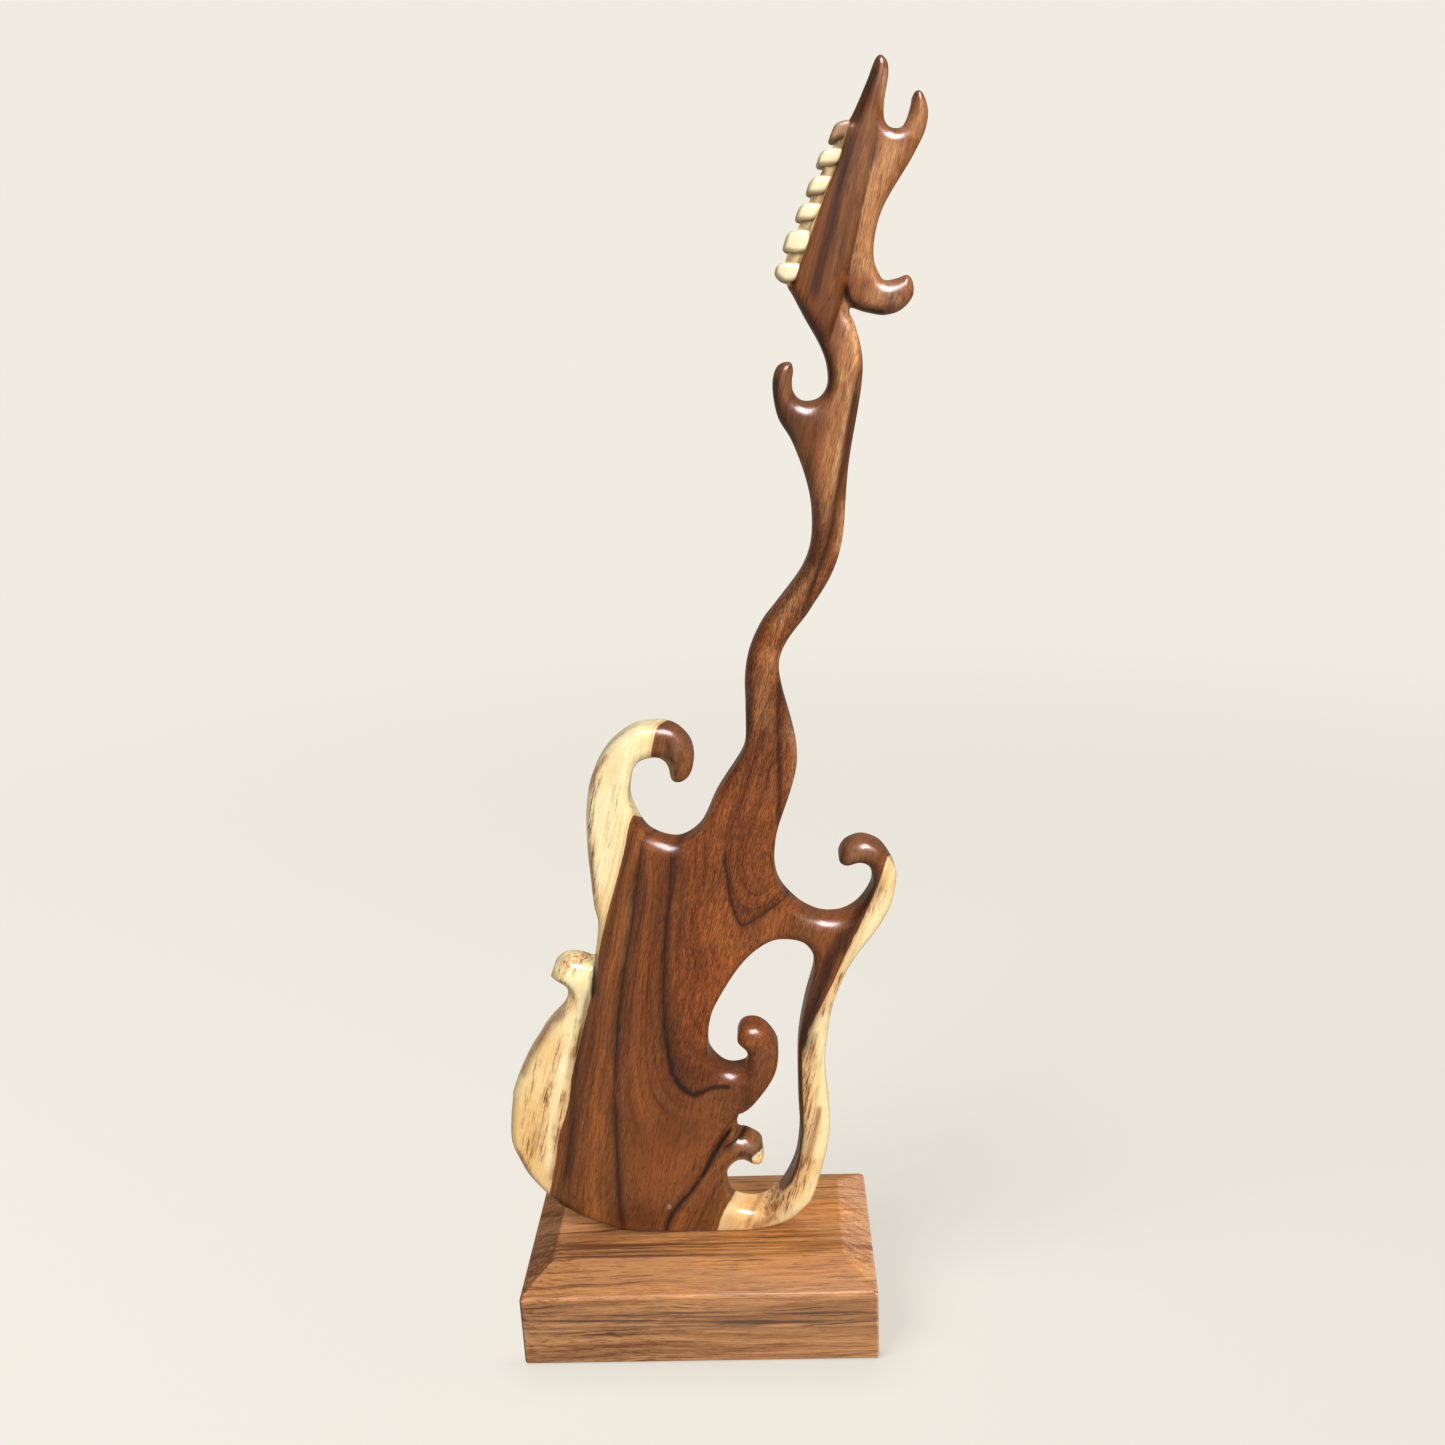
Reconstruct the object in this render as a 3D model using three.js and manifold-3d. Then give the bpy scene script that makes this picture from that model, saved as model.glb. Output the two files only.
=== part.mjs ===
// Carved wooden guitar sculpture standing on a bevelled block, about 600 mm tall.
// Millimetres, +Z up. X runs along the long side of the base, the carved face looks
// toward -Y, and the origin is the centre of the felt's underside, where the piece stands.

import * as THREE from 'three';
import { mergeVertices } from 'three/addons/utils/BufferGeometryUtils.js';
import { ConvexGeometry } from 'three/addons/geometries/ConvexGeometry.js';
import Module from 'manifold-3d';

// ---- driving dimensions -------------------------------------------------------
const GAP = 0.3;               // fitting gap between neighbouring pieces

const BASE_LENGTH = 178.4;     // along X
const BASE_DEPTH = 97.4;       // along Y
const BASE_SIDE_TOP = 39.2;    // Z where the upright sides end and the bevel starts
const BASE_TOP = 48.6;         // Z of the flat top
const BEVEL_INSET_X = 16;
const BEVEL_INSET_Y = 18.4;
const BASE_CORNER = 1.2;       // flat cut across each upright corner

const FELT_THICKNESS = 1.2;
const FELT_INSET = 4;          // from the sides of the block
const FELT_CORNER = 3;
const FELT_PROUD = 0.3;        // how far the felt stands below the block

const PLANK_FRONT = -12.7;     // Y of the carved face
const PLANK_BACK = 7.4;        // Y of the back face
const PLANK_FOOT = BASE_TOP + GAP;
const PLANK_ROUND = { radius: 4.5, steps: 3 }; // edge rounding, facets per quarter round

const PEG_RECESS = 0.6;        // peg ends lie this far inside the plank's faces
const PEG_ROUND = { radius: 2.2, steps: 2 };
const PEG_CLEARANCE = 0.32;

const SCREW_X = [-27, 2];      // two screws up through the base into the plank
const SCREW_Y = (PLANK_FRONT + PLANK_BACK) / 2;
const SCREW_HEAD_Z = 15;       // underside of the head, in the counterbore
const SCREW_HEAD_R = 4.2;
const SCREW_HEAD_RIM = 0.6;    // height of the head's upright edge
const SCREW_SHANK_R = 2.25;
const SCREW_LENGTH = 50;
const SCREW_TIP_Z = SCREW_HEAD_Z + SCREW_LENGTH;
const SCREW_CLEARANCE = 0.3;
const BORE_SHANK_R = SCREW_SHANK_R + SCREW_CLEARANCE;
const BORE_HEAD_R = SCREW_HEAD_R + SCREW_CLEARANCE + 0.5;

// How outlines are cut into facets: longest station spacing left undivided,
// and the distance within which a point is dropped as too close to the one before it.
const PLANK_SAMPLING = { longest: 10.2, closest: 0.5 };
const PEG_SAMPLING = { longest: 12, closest: 0.3 };
const SAG_TOLERANCE = 0.16;    // bow of the curve that calls for a further facet

// What holds the edge rounding back.
const ROUND_LIMITS = {
  cornerShare: 0.72,           // part of the inset that fits at a convex bend
  widthShare: 0.4,             // part of the width of the limb
  slope: 0.35,                 // change of radius per millimetre along the edge
  smallest: 0.35,
};

const OVERCUT = 2;             // cutters run this far past the surface they start from
const PEG_OVERCUT = 3;
const FOOT_CUTTER = { width: 240, depth: 80, bottom: 30 };
const LATHE_SEGMENTS = 24;
const WELD_DISTANCE = 1e-4;

// ---- outlines: X, Z of each station -------------------------------------------
// Outer edge of the plank, counter-clockwise seen from the front, starting under the body.
const OUTLINE = [
  [0, 46.3], [22.4, 46.2], [31.9, 47.7], [46.6, 52.8], [54.6, 60], [58, 64], [62.8, 77.5], [68.8, 106],
  [67.6, 135.9], [67.4, 146.7], [71.4, 174], [78, 192], [84.3, 202.7], [91.7, 212.6], [97.3, 221.3],
  [101, 228.9], [103.7, 242.9], [103.2, 246.9], [99.1, 254.9], [96.1, 258.5], [90.8, 261.3], [86.5, 262],
  [79.9, 259.5], [76.8, 255], [76.6, 251.1], [77.8, 249.8], [80.3, 249], [86.6, 250.2], [90.5, 248.5],
  [91.8, 245.2], [92.2, 238.5], [86, 227.9], [78.6, 223.3], [70.3, 222.6], [64.5, 223.9], [55.9, 229],
  [47, 241.2], [46.4, 263], [57.9, 302.8], [51.3, 351.7], [66.2, 374.6], [75.6, 389], [80.5, 402.5],
  [84.2, 437.1], [91.1, 480], [87.9, 496.9], [86, 501.3], [86.3, 503.3], [92.9, 501.3], [101.5, 499.7],
  [108, 501.6], [112.8, 507.2], [112.4, 513.1], [110.3, 515.4], [107.1, 514.5], [102, 513.6], [100.1, 514.1],
  [98.8, 516], [96.7, 520.8], [96.4, 527.5], [99.8, 541], [113.3, 562.3], [118.3, 572.2], [119, 579.3],
  [116.9, 584.9], [115.5, 586.1], [113.8, 585.6], [112.9, 581.9], [110.6, 575.6], [108, 572.6],
  [103.8, 572.9], [101.5, 575.5], [101.2, 581.5], [103.2, 593.7], [102.5, 597.6], [100.1, 599.9],
  [98.4, 599.1], [95.2, 592.2], [87.6, 577.2], [84.5, 573.6], [80.1, 566.5], [65.6, 537], [59.2, 522],
  [60.1, 513.3], [61.8, 510.2], [66.9, 500.2], [73.5, 487.9], [76, 479.9], [76, 471.5], [72.6, 466.8],
  [67.6, 465.4], [63.8, 466.3], [61, 470], [60.7, 474.8], [61.3, 478.7], [60.3, 482], [55.2, 481.1],
  [52.4, 475.1], [53.9, 459.7], [59.6, 449.2], [65.7, 431.5], [67.8, 418.4], [66.9, 402.9], [62.8, 392.5],
  [50.9, 377], [44.1, 368.6], [37.7, 355.7], [35.1, 343.6], [34.8, 330.9], [33.9, 311.3], [32.4, 306.8],
  [19.7, 287.4], [10.6, 270.1], [2.4, 264.7], [-2.7, 264.4], [-11.4, 267.3], [-15.8, 270.8], [-22, 285],
  [-21.2, 294.5], [-18.9, 301.3], [-15.4, 305.1], [-8.1, 306.2], [-4.9, 304.6], [-2.9, 301.7], [-1.2, 294.8],
  [2, 293.7], [6.2, 295.9], [9, 301.5], [8.5, 311.4], [2.8, 319.1], [-3.6, 322.1], [-10, 322.3],
  [-18.2, 321.1], [-30.2, 312.6], [-38.4, 299.9], [-42.3, 283.7], [-43.5, 260.1], [-43.1, 249.3],
  [-42.4, 231.8], [-41.2, 224.3], [-44.1, 205.7], [-45.3, 202], [-46.4, 201.1], [-48.8, 202.3],
  [-54.1, 203.9], [-59.7, 203.8], [-64.6, 200.5], [-65.8, 197.6], [-67, 194.6], [-66.1, 193.8],
  [-64.5, 192.1], [-59.3, 187.5], [-62.2, 176.9], [-69.2, 169.2], [-73, 164.6], [-76.8, 158.6],
  [-81.7, 151.4], [-91, 131.9], [-91.5, 128.3], [-93.4, 116.5], [-94.1, 102.9], [-90.4, 91.1], [-86.8, 83.1],
  [-73.4, 66.2], [-67.3, 61.7], [-61, 57.4], [-34.3, 48], [-26, 47.3],
];
// Through opening in the lower right of the body.
const OPENING = [
  [15, 72.2], [17.6, 63.2], [30.1, 59.9], [39.5, 64.6], [49.8, 82], [53.5, 101.6], [53.4, 125.1],
  [54.4, 155.5], [58.1, 175.9], [63, 194.5], [63, 200.1], [62.6, 203.6], [59.7, 208.3], [55.7, 210.9],
  [45.1, 211.9], [36.2, 207.5], [26.9, 198.3], [12.9, 175.5], [10.8, 169], [9.2, 159.2], [9.5, 149.3],
  [15.9, 141.8], [21.2, 140], [27.3, 141.3], [28.3, 143.7], [28.3, 150.4], [23.9, 156.2], [24.8, 161.6],
  [27.4, 164.4], [33.6, 164.9], [38.7, 161.8], [43.3, 154.4], [44.1, 150.2], [41.9, 137.7], [30.4, 120.5],
  [23.5, 113.8], [21.9, 110.8], [21.6, 107.6], [22.1, 102.7], [26.7, 101.7], [33.4, 97], [34.2, 91.9],
  [34.5, 89.2], [32.8, 86.2], [29, 86.3], [24.4, 88.7], [21.3, 88.5], [18.6, 86.8], [15.9, 82.9],
];
// Six tuning pegs, top to bottom, each seen from the front.
const PEGS = [
  [[87, 576], [83.3, 575.8], [81, 574.7], [79.6, 572.4], [78.6, 569.7],
    [79.4, 568.6], [83, 568.5], [86.4, 569.2], [88, 572.6]],
  [[84.4, 565.4], [80.3, 566], [76.9, 565.7], [74.9, 564.2], [73.3, 561],
    [73.7, 559.6], [77.6, 558.8], [81.6, 559.2], [83.9, 562]],
  [[79.8, 554.9], [76.4, 555.7], [72.5, 555.4], [70.2, 553.6], [68.7, 549.9],
    [69.4, 548.7], [73, 548.1], [76.4, 548.5], [78.9, 551.5]],
  [[76, 544.7], [72, 545.4], [67.7, 545.3], [65.3, 543.4], [63.9, 539.9],
    [64.7, 538.7], [68.6, 538], [72, 538.4], [74.8, 541.4]],
  [[71.8, 534.3], [67.6, 535.2], [63.2, 535.2], [60.5, 533.9], [58.9, 530.8],
    [58.3, 528.1], [59.2, 526.9], [64, 525.6], [68.6, 526.2], [70.9, 530]],
  [[67.4, 521.6], [63, 522.4], [57.6, 522.5], [55.4, 521.2], [54.5, 518.6],
    [56, 516], [58.6, 514.4], [62.6, 514.4], [66.2, 517.4]],
];

// ---- materials ----------------------------------------------------------------
const HEARTWOOD = { color: 0x7a4524, roughness: 0.32, metalness: 0 };
const SAPWOOD = { color: 0xe6c98c, roughness: 0.34, metalness: 0 };
const BASE_WOOD = { color: 0xa3683b, roughness: 0.36, metalness: 0 };
const STEEL = { color: 0x9a9da1, roughness: 0.35, metalness: 1 };
const FELT = { color: 0x24211f, roughness: 0.95, metalness: 0 };

// ---- solids and meshes --------------------------------------------------------
const wasm = await Module();
wasm.setup();

function toSolid(geometry) {
  // normals and uvs would keep coincident vertices from merging
  geometry.deleteAttribute('normal');
  geometry.deleteAttribute('uv');
  const welded = mergeVertices(geometry, WELD_DISTANCE);
  return new wasm.Manifold(new wasm.Mesh({
    numProp: 3,
    vertProperties: Float32Array.from(welded.attributes.position.array),
    triVerts: Uint32Array.from(welded.index.array),
  }));
}

function toGeometry(solid) {
  const mesh = solid.getMesh();
  const geometry = new THREE.BufferGeometry();
  geometry.setAttribute('position', new THREE.Float32BufferAttribute(mesh.vertProperties, 3));
  geometry.setIndex(Array.from(mesh.triVerts));
  return geometry;
}

const group = new THREE.Group();
group.name = 'carved_guitar';

// Adds a flat-shaded mesh with its own material.
function add(name, geometry, look) {
  const faceted = geometry.index ? geometry.toNonIndexed() : geometry;
  faceted.deleteAttribute('uv');
  faceted.computeVertexNormals();
  const mesh = new THREE.Mesh(faceted, new THREE.MeshStandardMaterial(look));
  mesh.name = name;
  mesh.material.name = `${name}_finish`;
  group.add(mesh);
}

// ---- loops: closed lists of Vector2 whose y holds Z ---------------------------
// Smooth closed curve through the stations, with more facets where it is long or bowed.
function sampleLoop(stations, { longest, closest }) {
  const curve = new THREE.CatmullRomCurve3(
    stations.map(([x, z]) => new THREE.Vector3(x, 0, z)), true, 'centripetal');
  const count = stations.length;
  const points = [];
  for (let i = 0; i < count; i++) {
    const start = curve.getPoint(i / count);
    const middle = curve.getPoint((i + 0.5) / count);
    const end = curve.getPoint(((i + 1) % count) / count);
    const chord = start.distanceTo(end);
    const sag = middle.distanceTo(start.clone().add(end).multiplyScalar(0.5));
    const pieces = Math.ceil(Math.max(chord / longest, Math.sqrt(sag / SAG_TOLERANCE)));
    for (let k = 0; k < pieces; k++) {
      const { x, z } = curve.getPoint((i + k / pieces) / count);
      const point = new THREE.Vector2(x, z);
      if (!points.length || point.distanceTo(points.at(-1)) > closest) points.push(point);
    }
  }
  return points;
}

// Turned so that the solid lies to the left of travel: outer edges run counter-clockwise
// seen from the front, openings clockwise.
function wound(loop, isOpening = false) {
  const clockwise = THREE.ShapeUtils.area(loop) < 0;
  return clockwise === isOpening ? loop : loop.reverse();
}

const neighbours = (loop, i) => [
  loop[(i + loop.length - 1) % loop.length],
  loop[(i + 1) % loop.length],
];

// Unit normals pointing into the solid.
function inwardNormals(loop) {
  return loop.map((point, i) => {
    const [before, after] = neighbours(loop, i);
    const arriving = point.clone().sub(before).normalize();
    const leaving = after.clone().sub(point).normalize();
    const tangent = arriving.add(leaving).normalize();
    return new THREE.Vector2(-tangent.y, tangent.x);
  });
}

// Distance from a loop point along `direction` to the nearest edge of any loop.
function limbWidth(point, direction, loops) {
  let width = Infinity;
  for (const loop of loops) {
    for (let j = 0; j < loop.length; j++) {
      const start = loop[j];
      const end = loop[(j + 1) % loop.length];
      if (start === point || end === point) continue;
      const edge = end.clone().sub(start);
      const offset = start.clone().sub(point);
      const denominator = direction.cross(edge);
      if (Math.abs(denominator) < 1e-9) continue; // parallel
      const distance = offset.cross(edge) / denominator;
      const along = offset.cross(direction) / denominator;
      if (distance > 0.05 && along >= -1e-6 && along <= 1 + 1e-6) {
        width = Math.min(width, distance);
      }
    }
  }
  return width;
}

// Largest rounding that fits at every point: held back by sharp bends and narrow limbs.
function edgeRadii(loop, normals, loops, limit) {
  const { cornerShare, widthShare, slope, smallest } = ROUND_LIMITS;
  const travelled = [0];
  for (let i = 1; i < loop.length; i++) {
    travelled.push(travelled[i - 1] + loop[i].distanceTo(loop[i - 1]));
  }
  const total = travelled.at(-1) + loop[0].distanceTo(loop.at(-1));

  const fitting = loop.map((point, i) => {
    const [before, after] = neighbours(loop, i);
    const arriving = point.clone().sub(before);
    const leaving = after.clone().sub(point);
    const turn = Math.atan2(arriving.cross(leaving), arriving.dot(leaving));
    let radius = limit;
    if (turn > 1e-4) { // convex bend
      const meanLength = 0.5 * (arriving.length() + leaving.length());
      radius = Math.min(radius, cornerShare * meanLength / (2 * Math.tan(turn / 2)));
    }
    return Math.min(radius, widthShare * limbWidth(point, normals[i], loops));
  });

  // the radius changes slowly along the edge
  return travelled.map((here) => {
    let radius = limit;
    travelled.forEach((there, j) => {
      const direct = Math.abs(here - there);
      const apart = Math.min(direct, total - direct);
      radius = Math.min(radius, fitting[j] + slope * apart);
    });
    return Math.max(radius, smallest);
  });
}

// ---- shape builders -----------------------------------------------------------
// A board bounded by `loops` (outer edge, then any opening), edges rounded front and back.
function roundedBoard(loops, front, back, { radius, steps }) {
  const positions = [];
  const index = [];
  const caps = { front: [], back: [] }; // vertex numbers of each loop's end rings

  for (const loop of loops) {
    const normals = inwardNormals(loop);
    const radii = edgeRadii(loop, normals, loops, radius);
    const rings = [];
    const addRing = (side, angle) => {
      const first = positions.length / 3;
      loop.forEach((point, i) => {
        const inset = radii[i] * (1 - Math.cos(angle));
        const depth = radii[i] * (1 - Math.sin(angle));
        const y = side === 'front' ? front + depth : back - depth;
        positions.push(point.x + normals[i].x * inset, y, point.y + normals[i].y * inset);
      });
      rings.push(loop.map((_, i) => first + i));
    };
    for (let k = steps; k >= 0; k--) addRing('front', (k / steps) * Math.PI / 2);
    for (let k = 0; k <= steps; k++) addRing('back', (k / steps) * Math.PI / 2);

    for (let r = 0; r + 1 < rings.length; r++) {
      const near = rings[r];
      const far = rings[r + 1];
      for (let i = 0; i < loop.length; i++) {
        const j = (i + 1) % loop.length;
        index.push(near[i], far[j], near[j], near[i], far[i], far[j]);
      }
    }
    caps.front.push(rings[0]);
    caps.back.push(rings.at(-1));
  }

  for (const [side, rings] of Object.entries(caps)) {
    const flat = rings.map((ring) => ring.map((id) =>
      new THREE.Vector2(positions[3 * id], positions[3 * id + 2])));
    const points = flat.flat();
    const ids = rings.flat();
    for (const [a, b, c] of THREE.ShapeUtils.triangulateShape(flat[0], flat.slice(1))) {
      const [A, B, C] = [points[a], points[b], points[c]];
      // seen from the front, counter-clockwise triangles look toward -Y
      const facesFront = (B.x - A.x) * (C.y - A.y) - (B.y - A.y) * (C.x - A.x) > 0;
      if ((side === 'front') === facesFront) index.push(ids[a], ids[b], ids[c]);
      else index.push(ids[a], ids[c], ids[b]);
    }
  }
  const geometry = new THREE.BufferGeometry();
  geometry.setAttribute('position', new THREE.Float32BufferAttribute(positions, 3));
  geometry.setIndex(index);
  return geometry;
}

// Profile of [radius, z] points turned about an upright axis on the screw line.
function turned(profile, x) {
  const points = profile.map(([radius, z]) => new THREE.Vector2(radius, z));
  const geometry = new THREE.LatheGeometry(points, LATHE_SEGMENTS);
  geometry.rotateX(Math.PI / 2);
  geometry.translate(x, SCREW_Y, 0);
  return geometry;
}

// Sheet with rounded corners, standing on Z = 0, `grow` larger all round.
function feltSheet(grow, thickness) {
  const x = BASE_LENGTH / 2 - FELT_INSET + grow;
  const y = BASE_DEPTH / 2 - FELT_INSET + grow;
  const corner = FELT_CORNER + grow;
  const arcX = x - corner;
  const arcY = y - corner;
  const sheet = new THREE.Shape();
  sheet.moveTo(-arcX, -y);
  sheet.lineTo(arcX, -y);
  sheet.absarc(arcX, -arcY, corner, -Math.PI / 2, 0);
  sheet.lineTo(x, arcY);
  sheet.absarc(arcX, arcY, corner, 0, Math.PI / 2);
  sheet.lineTo(-arcX, y);
  sheet.absarc(-arcX, arcY, corner, Math.PI / 2, Math.PI);
  sheet.lineTo(-x, -arcY);
  sheet.absarc(-arcX, -arcY, corner, Math.PI, Math.PI * 1.5);
  return new THREE.ExtrudeGeometry(sheet, {
    depth: thickness, bevelEnabled: false, curveSegments: 4,
  });
}

// ---- carved plank: body, neck and headstock in one piece ----------------------
// Removes everything below the plank's foot.
function footCutter() {
  const { width, depth, bottom } = FOOT_CUTTER;
  const geometry = new THREE.BoxGeometry(width, depth, PLANK_FOOT - bottom);
  geometry.translate(0, 0, (bottom + PLANK_FOOT) / 2);
  return geometry;
}

// A peg's outline with clearance, pushed right through the plank.
function pegCutter(loop) {
  const normals = inwardNormals(loop);
  const shape = new THREE.Shape(
    loop.map((point, i) => point.clone().addScaledVector(normals[i], -PEG_CLEARANCE)));
  const geometry = new THREE.ExtrudeGeometry(shape, {
    depth: PLANK_BACK - PLANK_FRONT + 2 * PEG_OVERCUT, bevelEnabled: false, curveSegments: 1,
  });
  // the quarter turn sends the extrusion from +Z to -Y
  geometry.rotateX(Math.PI / 2);
  geometry.translate(0, PLANK_BACK + PEG_OVERCUT, 0);
  return geometry;
}

function screwHole(x) {
  return turned([
    [0, PLANK_FOOT - OVERCUT],
    [BORE_SHANK_R, PLANK_FOOT - OVERCUT],
    [BORE_SHANK_R, SCREW_TIP_Z - 2],
    [0, SCREW_TIP_Z + 1.2],
  ], x);
}

function carvedPlank(pegLoops) {
  const loops = [
    wound(sampleLoop(OUTLINE, PLANK_SAMPLING)),
    wound(sampleLoop(OPENING, PLANK_SAMPLING), true),
  ];
  const cutters = [footCutter(), ...pegLoops.map(pegCutter), ...SCREW_X.map(screwHole)];
  let plank = toSolid(roundedBoard(loops, PLANK_FRONT, PLANK_BACK, PLANK_ROUND));
  for (const cutter of cutters) plank = plank.subtract(toSolid(cutter));
  return toGeometry(plank);
}

// ---- tuning pegs let into the headstock's left edge ---------------------------
function tuningPeg(loop) {
  return roundedBoard([loop], PLANK_FRONT + PEG_RECESS, PLANK_BACK - PEG_RECESS, PEG_ROUND);
}

// ---- base block ---------------------------------------------------------------
// Rectangle with cut corners, `x` and `y` being its half sizes.
function baseRim(x, y, z) {
  const c = BASE_CORNER;
  return [
    [x - c, y], [x, y - c], [x, -y + c], [x - c, -y],
    [-x + c, -y], [-x, -y + c], [-x, y - c], [-x + c, y],
  ].map(([px, py]) => new THREE.Vector3(px, py, z));
}

// Counterbore for the head, a 45 degree cone, then the shank's bore.
function baseBore(x) {
  const coneStart = SCREW_HEAD_Z + SCREW_HEAD_RIM;
  return turned([
    [0, FELT_PROUD - OVERCUT],
    [BORE_HEAD_R, FELT_PROUD - OVERCUT],
    [BORE_HEAD_R, coneStart],
    [BORE_SHANK_R, coneStart + BORE_HEAD_R - BORE_SHANK_R],
    [BORE_SHANK_R, BASE_TOP + OVERCUT],
    [0, BASE_TOP + OVERCUT],
  ], x);
}

// Shallow rebate that holds the felt.
function feltRebate() {
  const rebate = feltSheet(GAP, FELT_THICKNESS + GAP + OVERCUT);
  rebate.translate(0, 0, -OVERCUT);
  return rebate;
}

function baseBlock() {
  const halfX = BASE_LENGTH / 2;
  const halfY = BASE_DEPTH / 2;
  let block = toSolid(new ConvexGeometry([
    ...baseRim(halfX, halfY, FELT_PROUD),
    ...baseRim(halfX, halfY, BASE_SIDE_TOP),
    ...baseRim(halfX - BEVEL_INSET_X, halfY - BEVEL_INSET_Y, BASE_TOP),
  ]));
  for (const cutter of [...SCREW_X.map(baseBore), feltRebate()]) {
    block = block.subtract(toSolid(cutter));
  }
  return toGeometry(block);
}

// ---- countersunk wood screws --------------------------------------------------
// Pointing up, with a conical recess in the underside of the head.
function baseScrew(x) {
  const rimTop = SCREW_HEAD_Z + SCREW_HEAD_RIM;
  return turned([
    [0, SCREW_HEAD_Z + 2.2],
    [1.7, SCREW_HEAD_Z],
    [SCREW_HEAD_R, SCREW_HEAD_Z],
    [SCREW_HEAD_R, rimTop],
    [SCREW_SHANK_R, rimTop + SCREW_HEAD_R - SCREW_SHANK_R],
    [SCREW_SHANK_R, SCREW_TIP_Z - 5],
    [0.5, SCREW_TIP_Z - 0.3],
    [0, SCREW_TIP_Z],
  ], x);
}

// ---- assembly -----------------------------------------------------------------
const pegLoops = PEGS.map((stations) => wound(sampleLoop(stations, PEG_SAMPLING)));

add('guitar_carving', carvedPlank(pegLoops), HEARTWOOD);
pegLoops.forEach((loop, i) => add(`tuning_peg_${i + 1}`, tuningPeg(loop), SAPWOOD));
add('base_block', baseBlock(), BASE_WOOD);
SCREW_X.forEach((x, i) => add(`base_screw_${i + 1}`, baseScrew(x), STEEL));
add('base_felt', feltSheet(0, FELT_THICKNESS), FELT);

export default group;
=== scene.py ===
# Carved wooden guitar sculpture: a flat carved board with six pegs, standing on a bevelled
# block that has two screws and a felt sheet underneath. X runs to the right, Z up, and the
# carved face looks toward -Y. Shapes are in millimetres and become metres as meshes are made;
# the floor, lights and camera are in metres.
import math

import bmesh
import bpy
import numpy as np
from mathutils import Matrix, Vector


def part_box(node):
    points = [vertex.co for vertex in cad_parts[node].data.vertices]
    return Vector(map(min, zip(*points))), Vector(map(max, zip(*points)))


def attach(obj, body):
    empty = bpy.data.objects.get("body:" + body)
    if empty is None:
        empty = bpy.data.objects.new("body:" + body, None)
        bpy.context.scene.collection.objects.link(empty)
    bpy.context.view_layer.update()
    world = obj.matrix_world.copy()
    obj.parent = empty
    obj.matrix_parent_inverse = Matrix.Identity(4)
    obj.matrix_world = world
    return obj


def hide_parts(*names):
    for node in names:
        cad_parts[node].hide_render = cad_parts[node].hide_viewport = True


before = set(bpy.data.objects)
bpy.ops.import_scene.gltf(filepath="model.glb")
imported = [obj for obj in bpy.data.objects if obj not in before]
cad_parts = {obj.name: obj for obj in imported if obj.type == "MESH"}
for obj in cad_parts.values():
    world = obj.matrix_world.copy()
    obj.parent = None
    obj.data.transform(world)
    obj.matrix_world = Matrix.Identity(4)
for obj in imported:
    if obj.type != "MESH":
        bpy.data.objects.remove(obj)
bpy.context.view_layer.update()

MM = 0.001

# Steps in mm
OUTLINE_STEP, PEG_OUTLINE_STEP, LINE_STEP = 0.9, 0.5, 1.0
BOARD_CELL = 1.17
PEG_CELL = 0.5

# Board
EDGE_RADIUS = 4.7
PEG_EDGE_RADIUS = 1.2
FOOT_RADIUS = 0.5
PEG_RADIUS = 2.7

# Base block
SHOULDER_DROP = 9.4
TOP_INSET_X, TOP_INSET_Y = 16.0, 18.4
ARRIS, ARRIS_SEGMENTS = 1.5, 5
SHARP_ANGLE = math.radians(40)

# Screws and the bores that take them
SHANK_RADIUS, THREAD_PITCH, THREAD_DEPTH = 2.25, 2.1, 0.62
SCREW_SEGMENTS, BORE_SEGMENTS = 48, 64
BORE_RADIUS, HEAD_CLEARANCE, HEAD_GAP = 2.55, 0.8, 0.6
CUTTER_OVERSHOOT = 3

# Felt and its rebate
FELT_CORNER, FELT_CLEARANCE = 3.0, 0.3
FELT_SPACING, FELT_FUZZ = 3.0, 0.05


def node_box(node):
    low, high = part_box(node)
    return np.array(low, float) * 1000.0, np.array(high, float) * 1000.0


# ---- text tables ---------------------------------------------------------------------
def table(text):
    """Rows of numbers, divided by commas."""
    return [tuple(map(float, row.split())) for row in text.split(",")]


def strokes(text):
    """Records "numbers: x z, x z, ...", divided by semicolons, as (*numbers, line)."""
    records = (record.split(":") for record in text.split(";"))
    return [(*map(float, head.split()), table(line)) for head, line in records]


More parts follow.
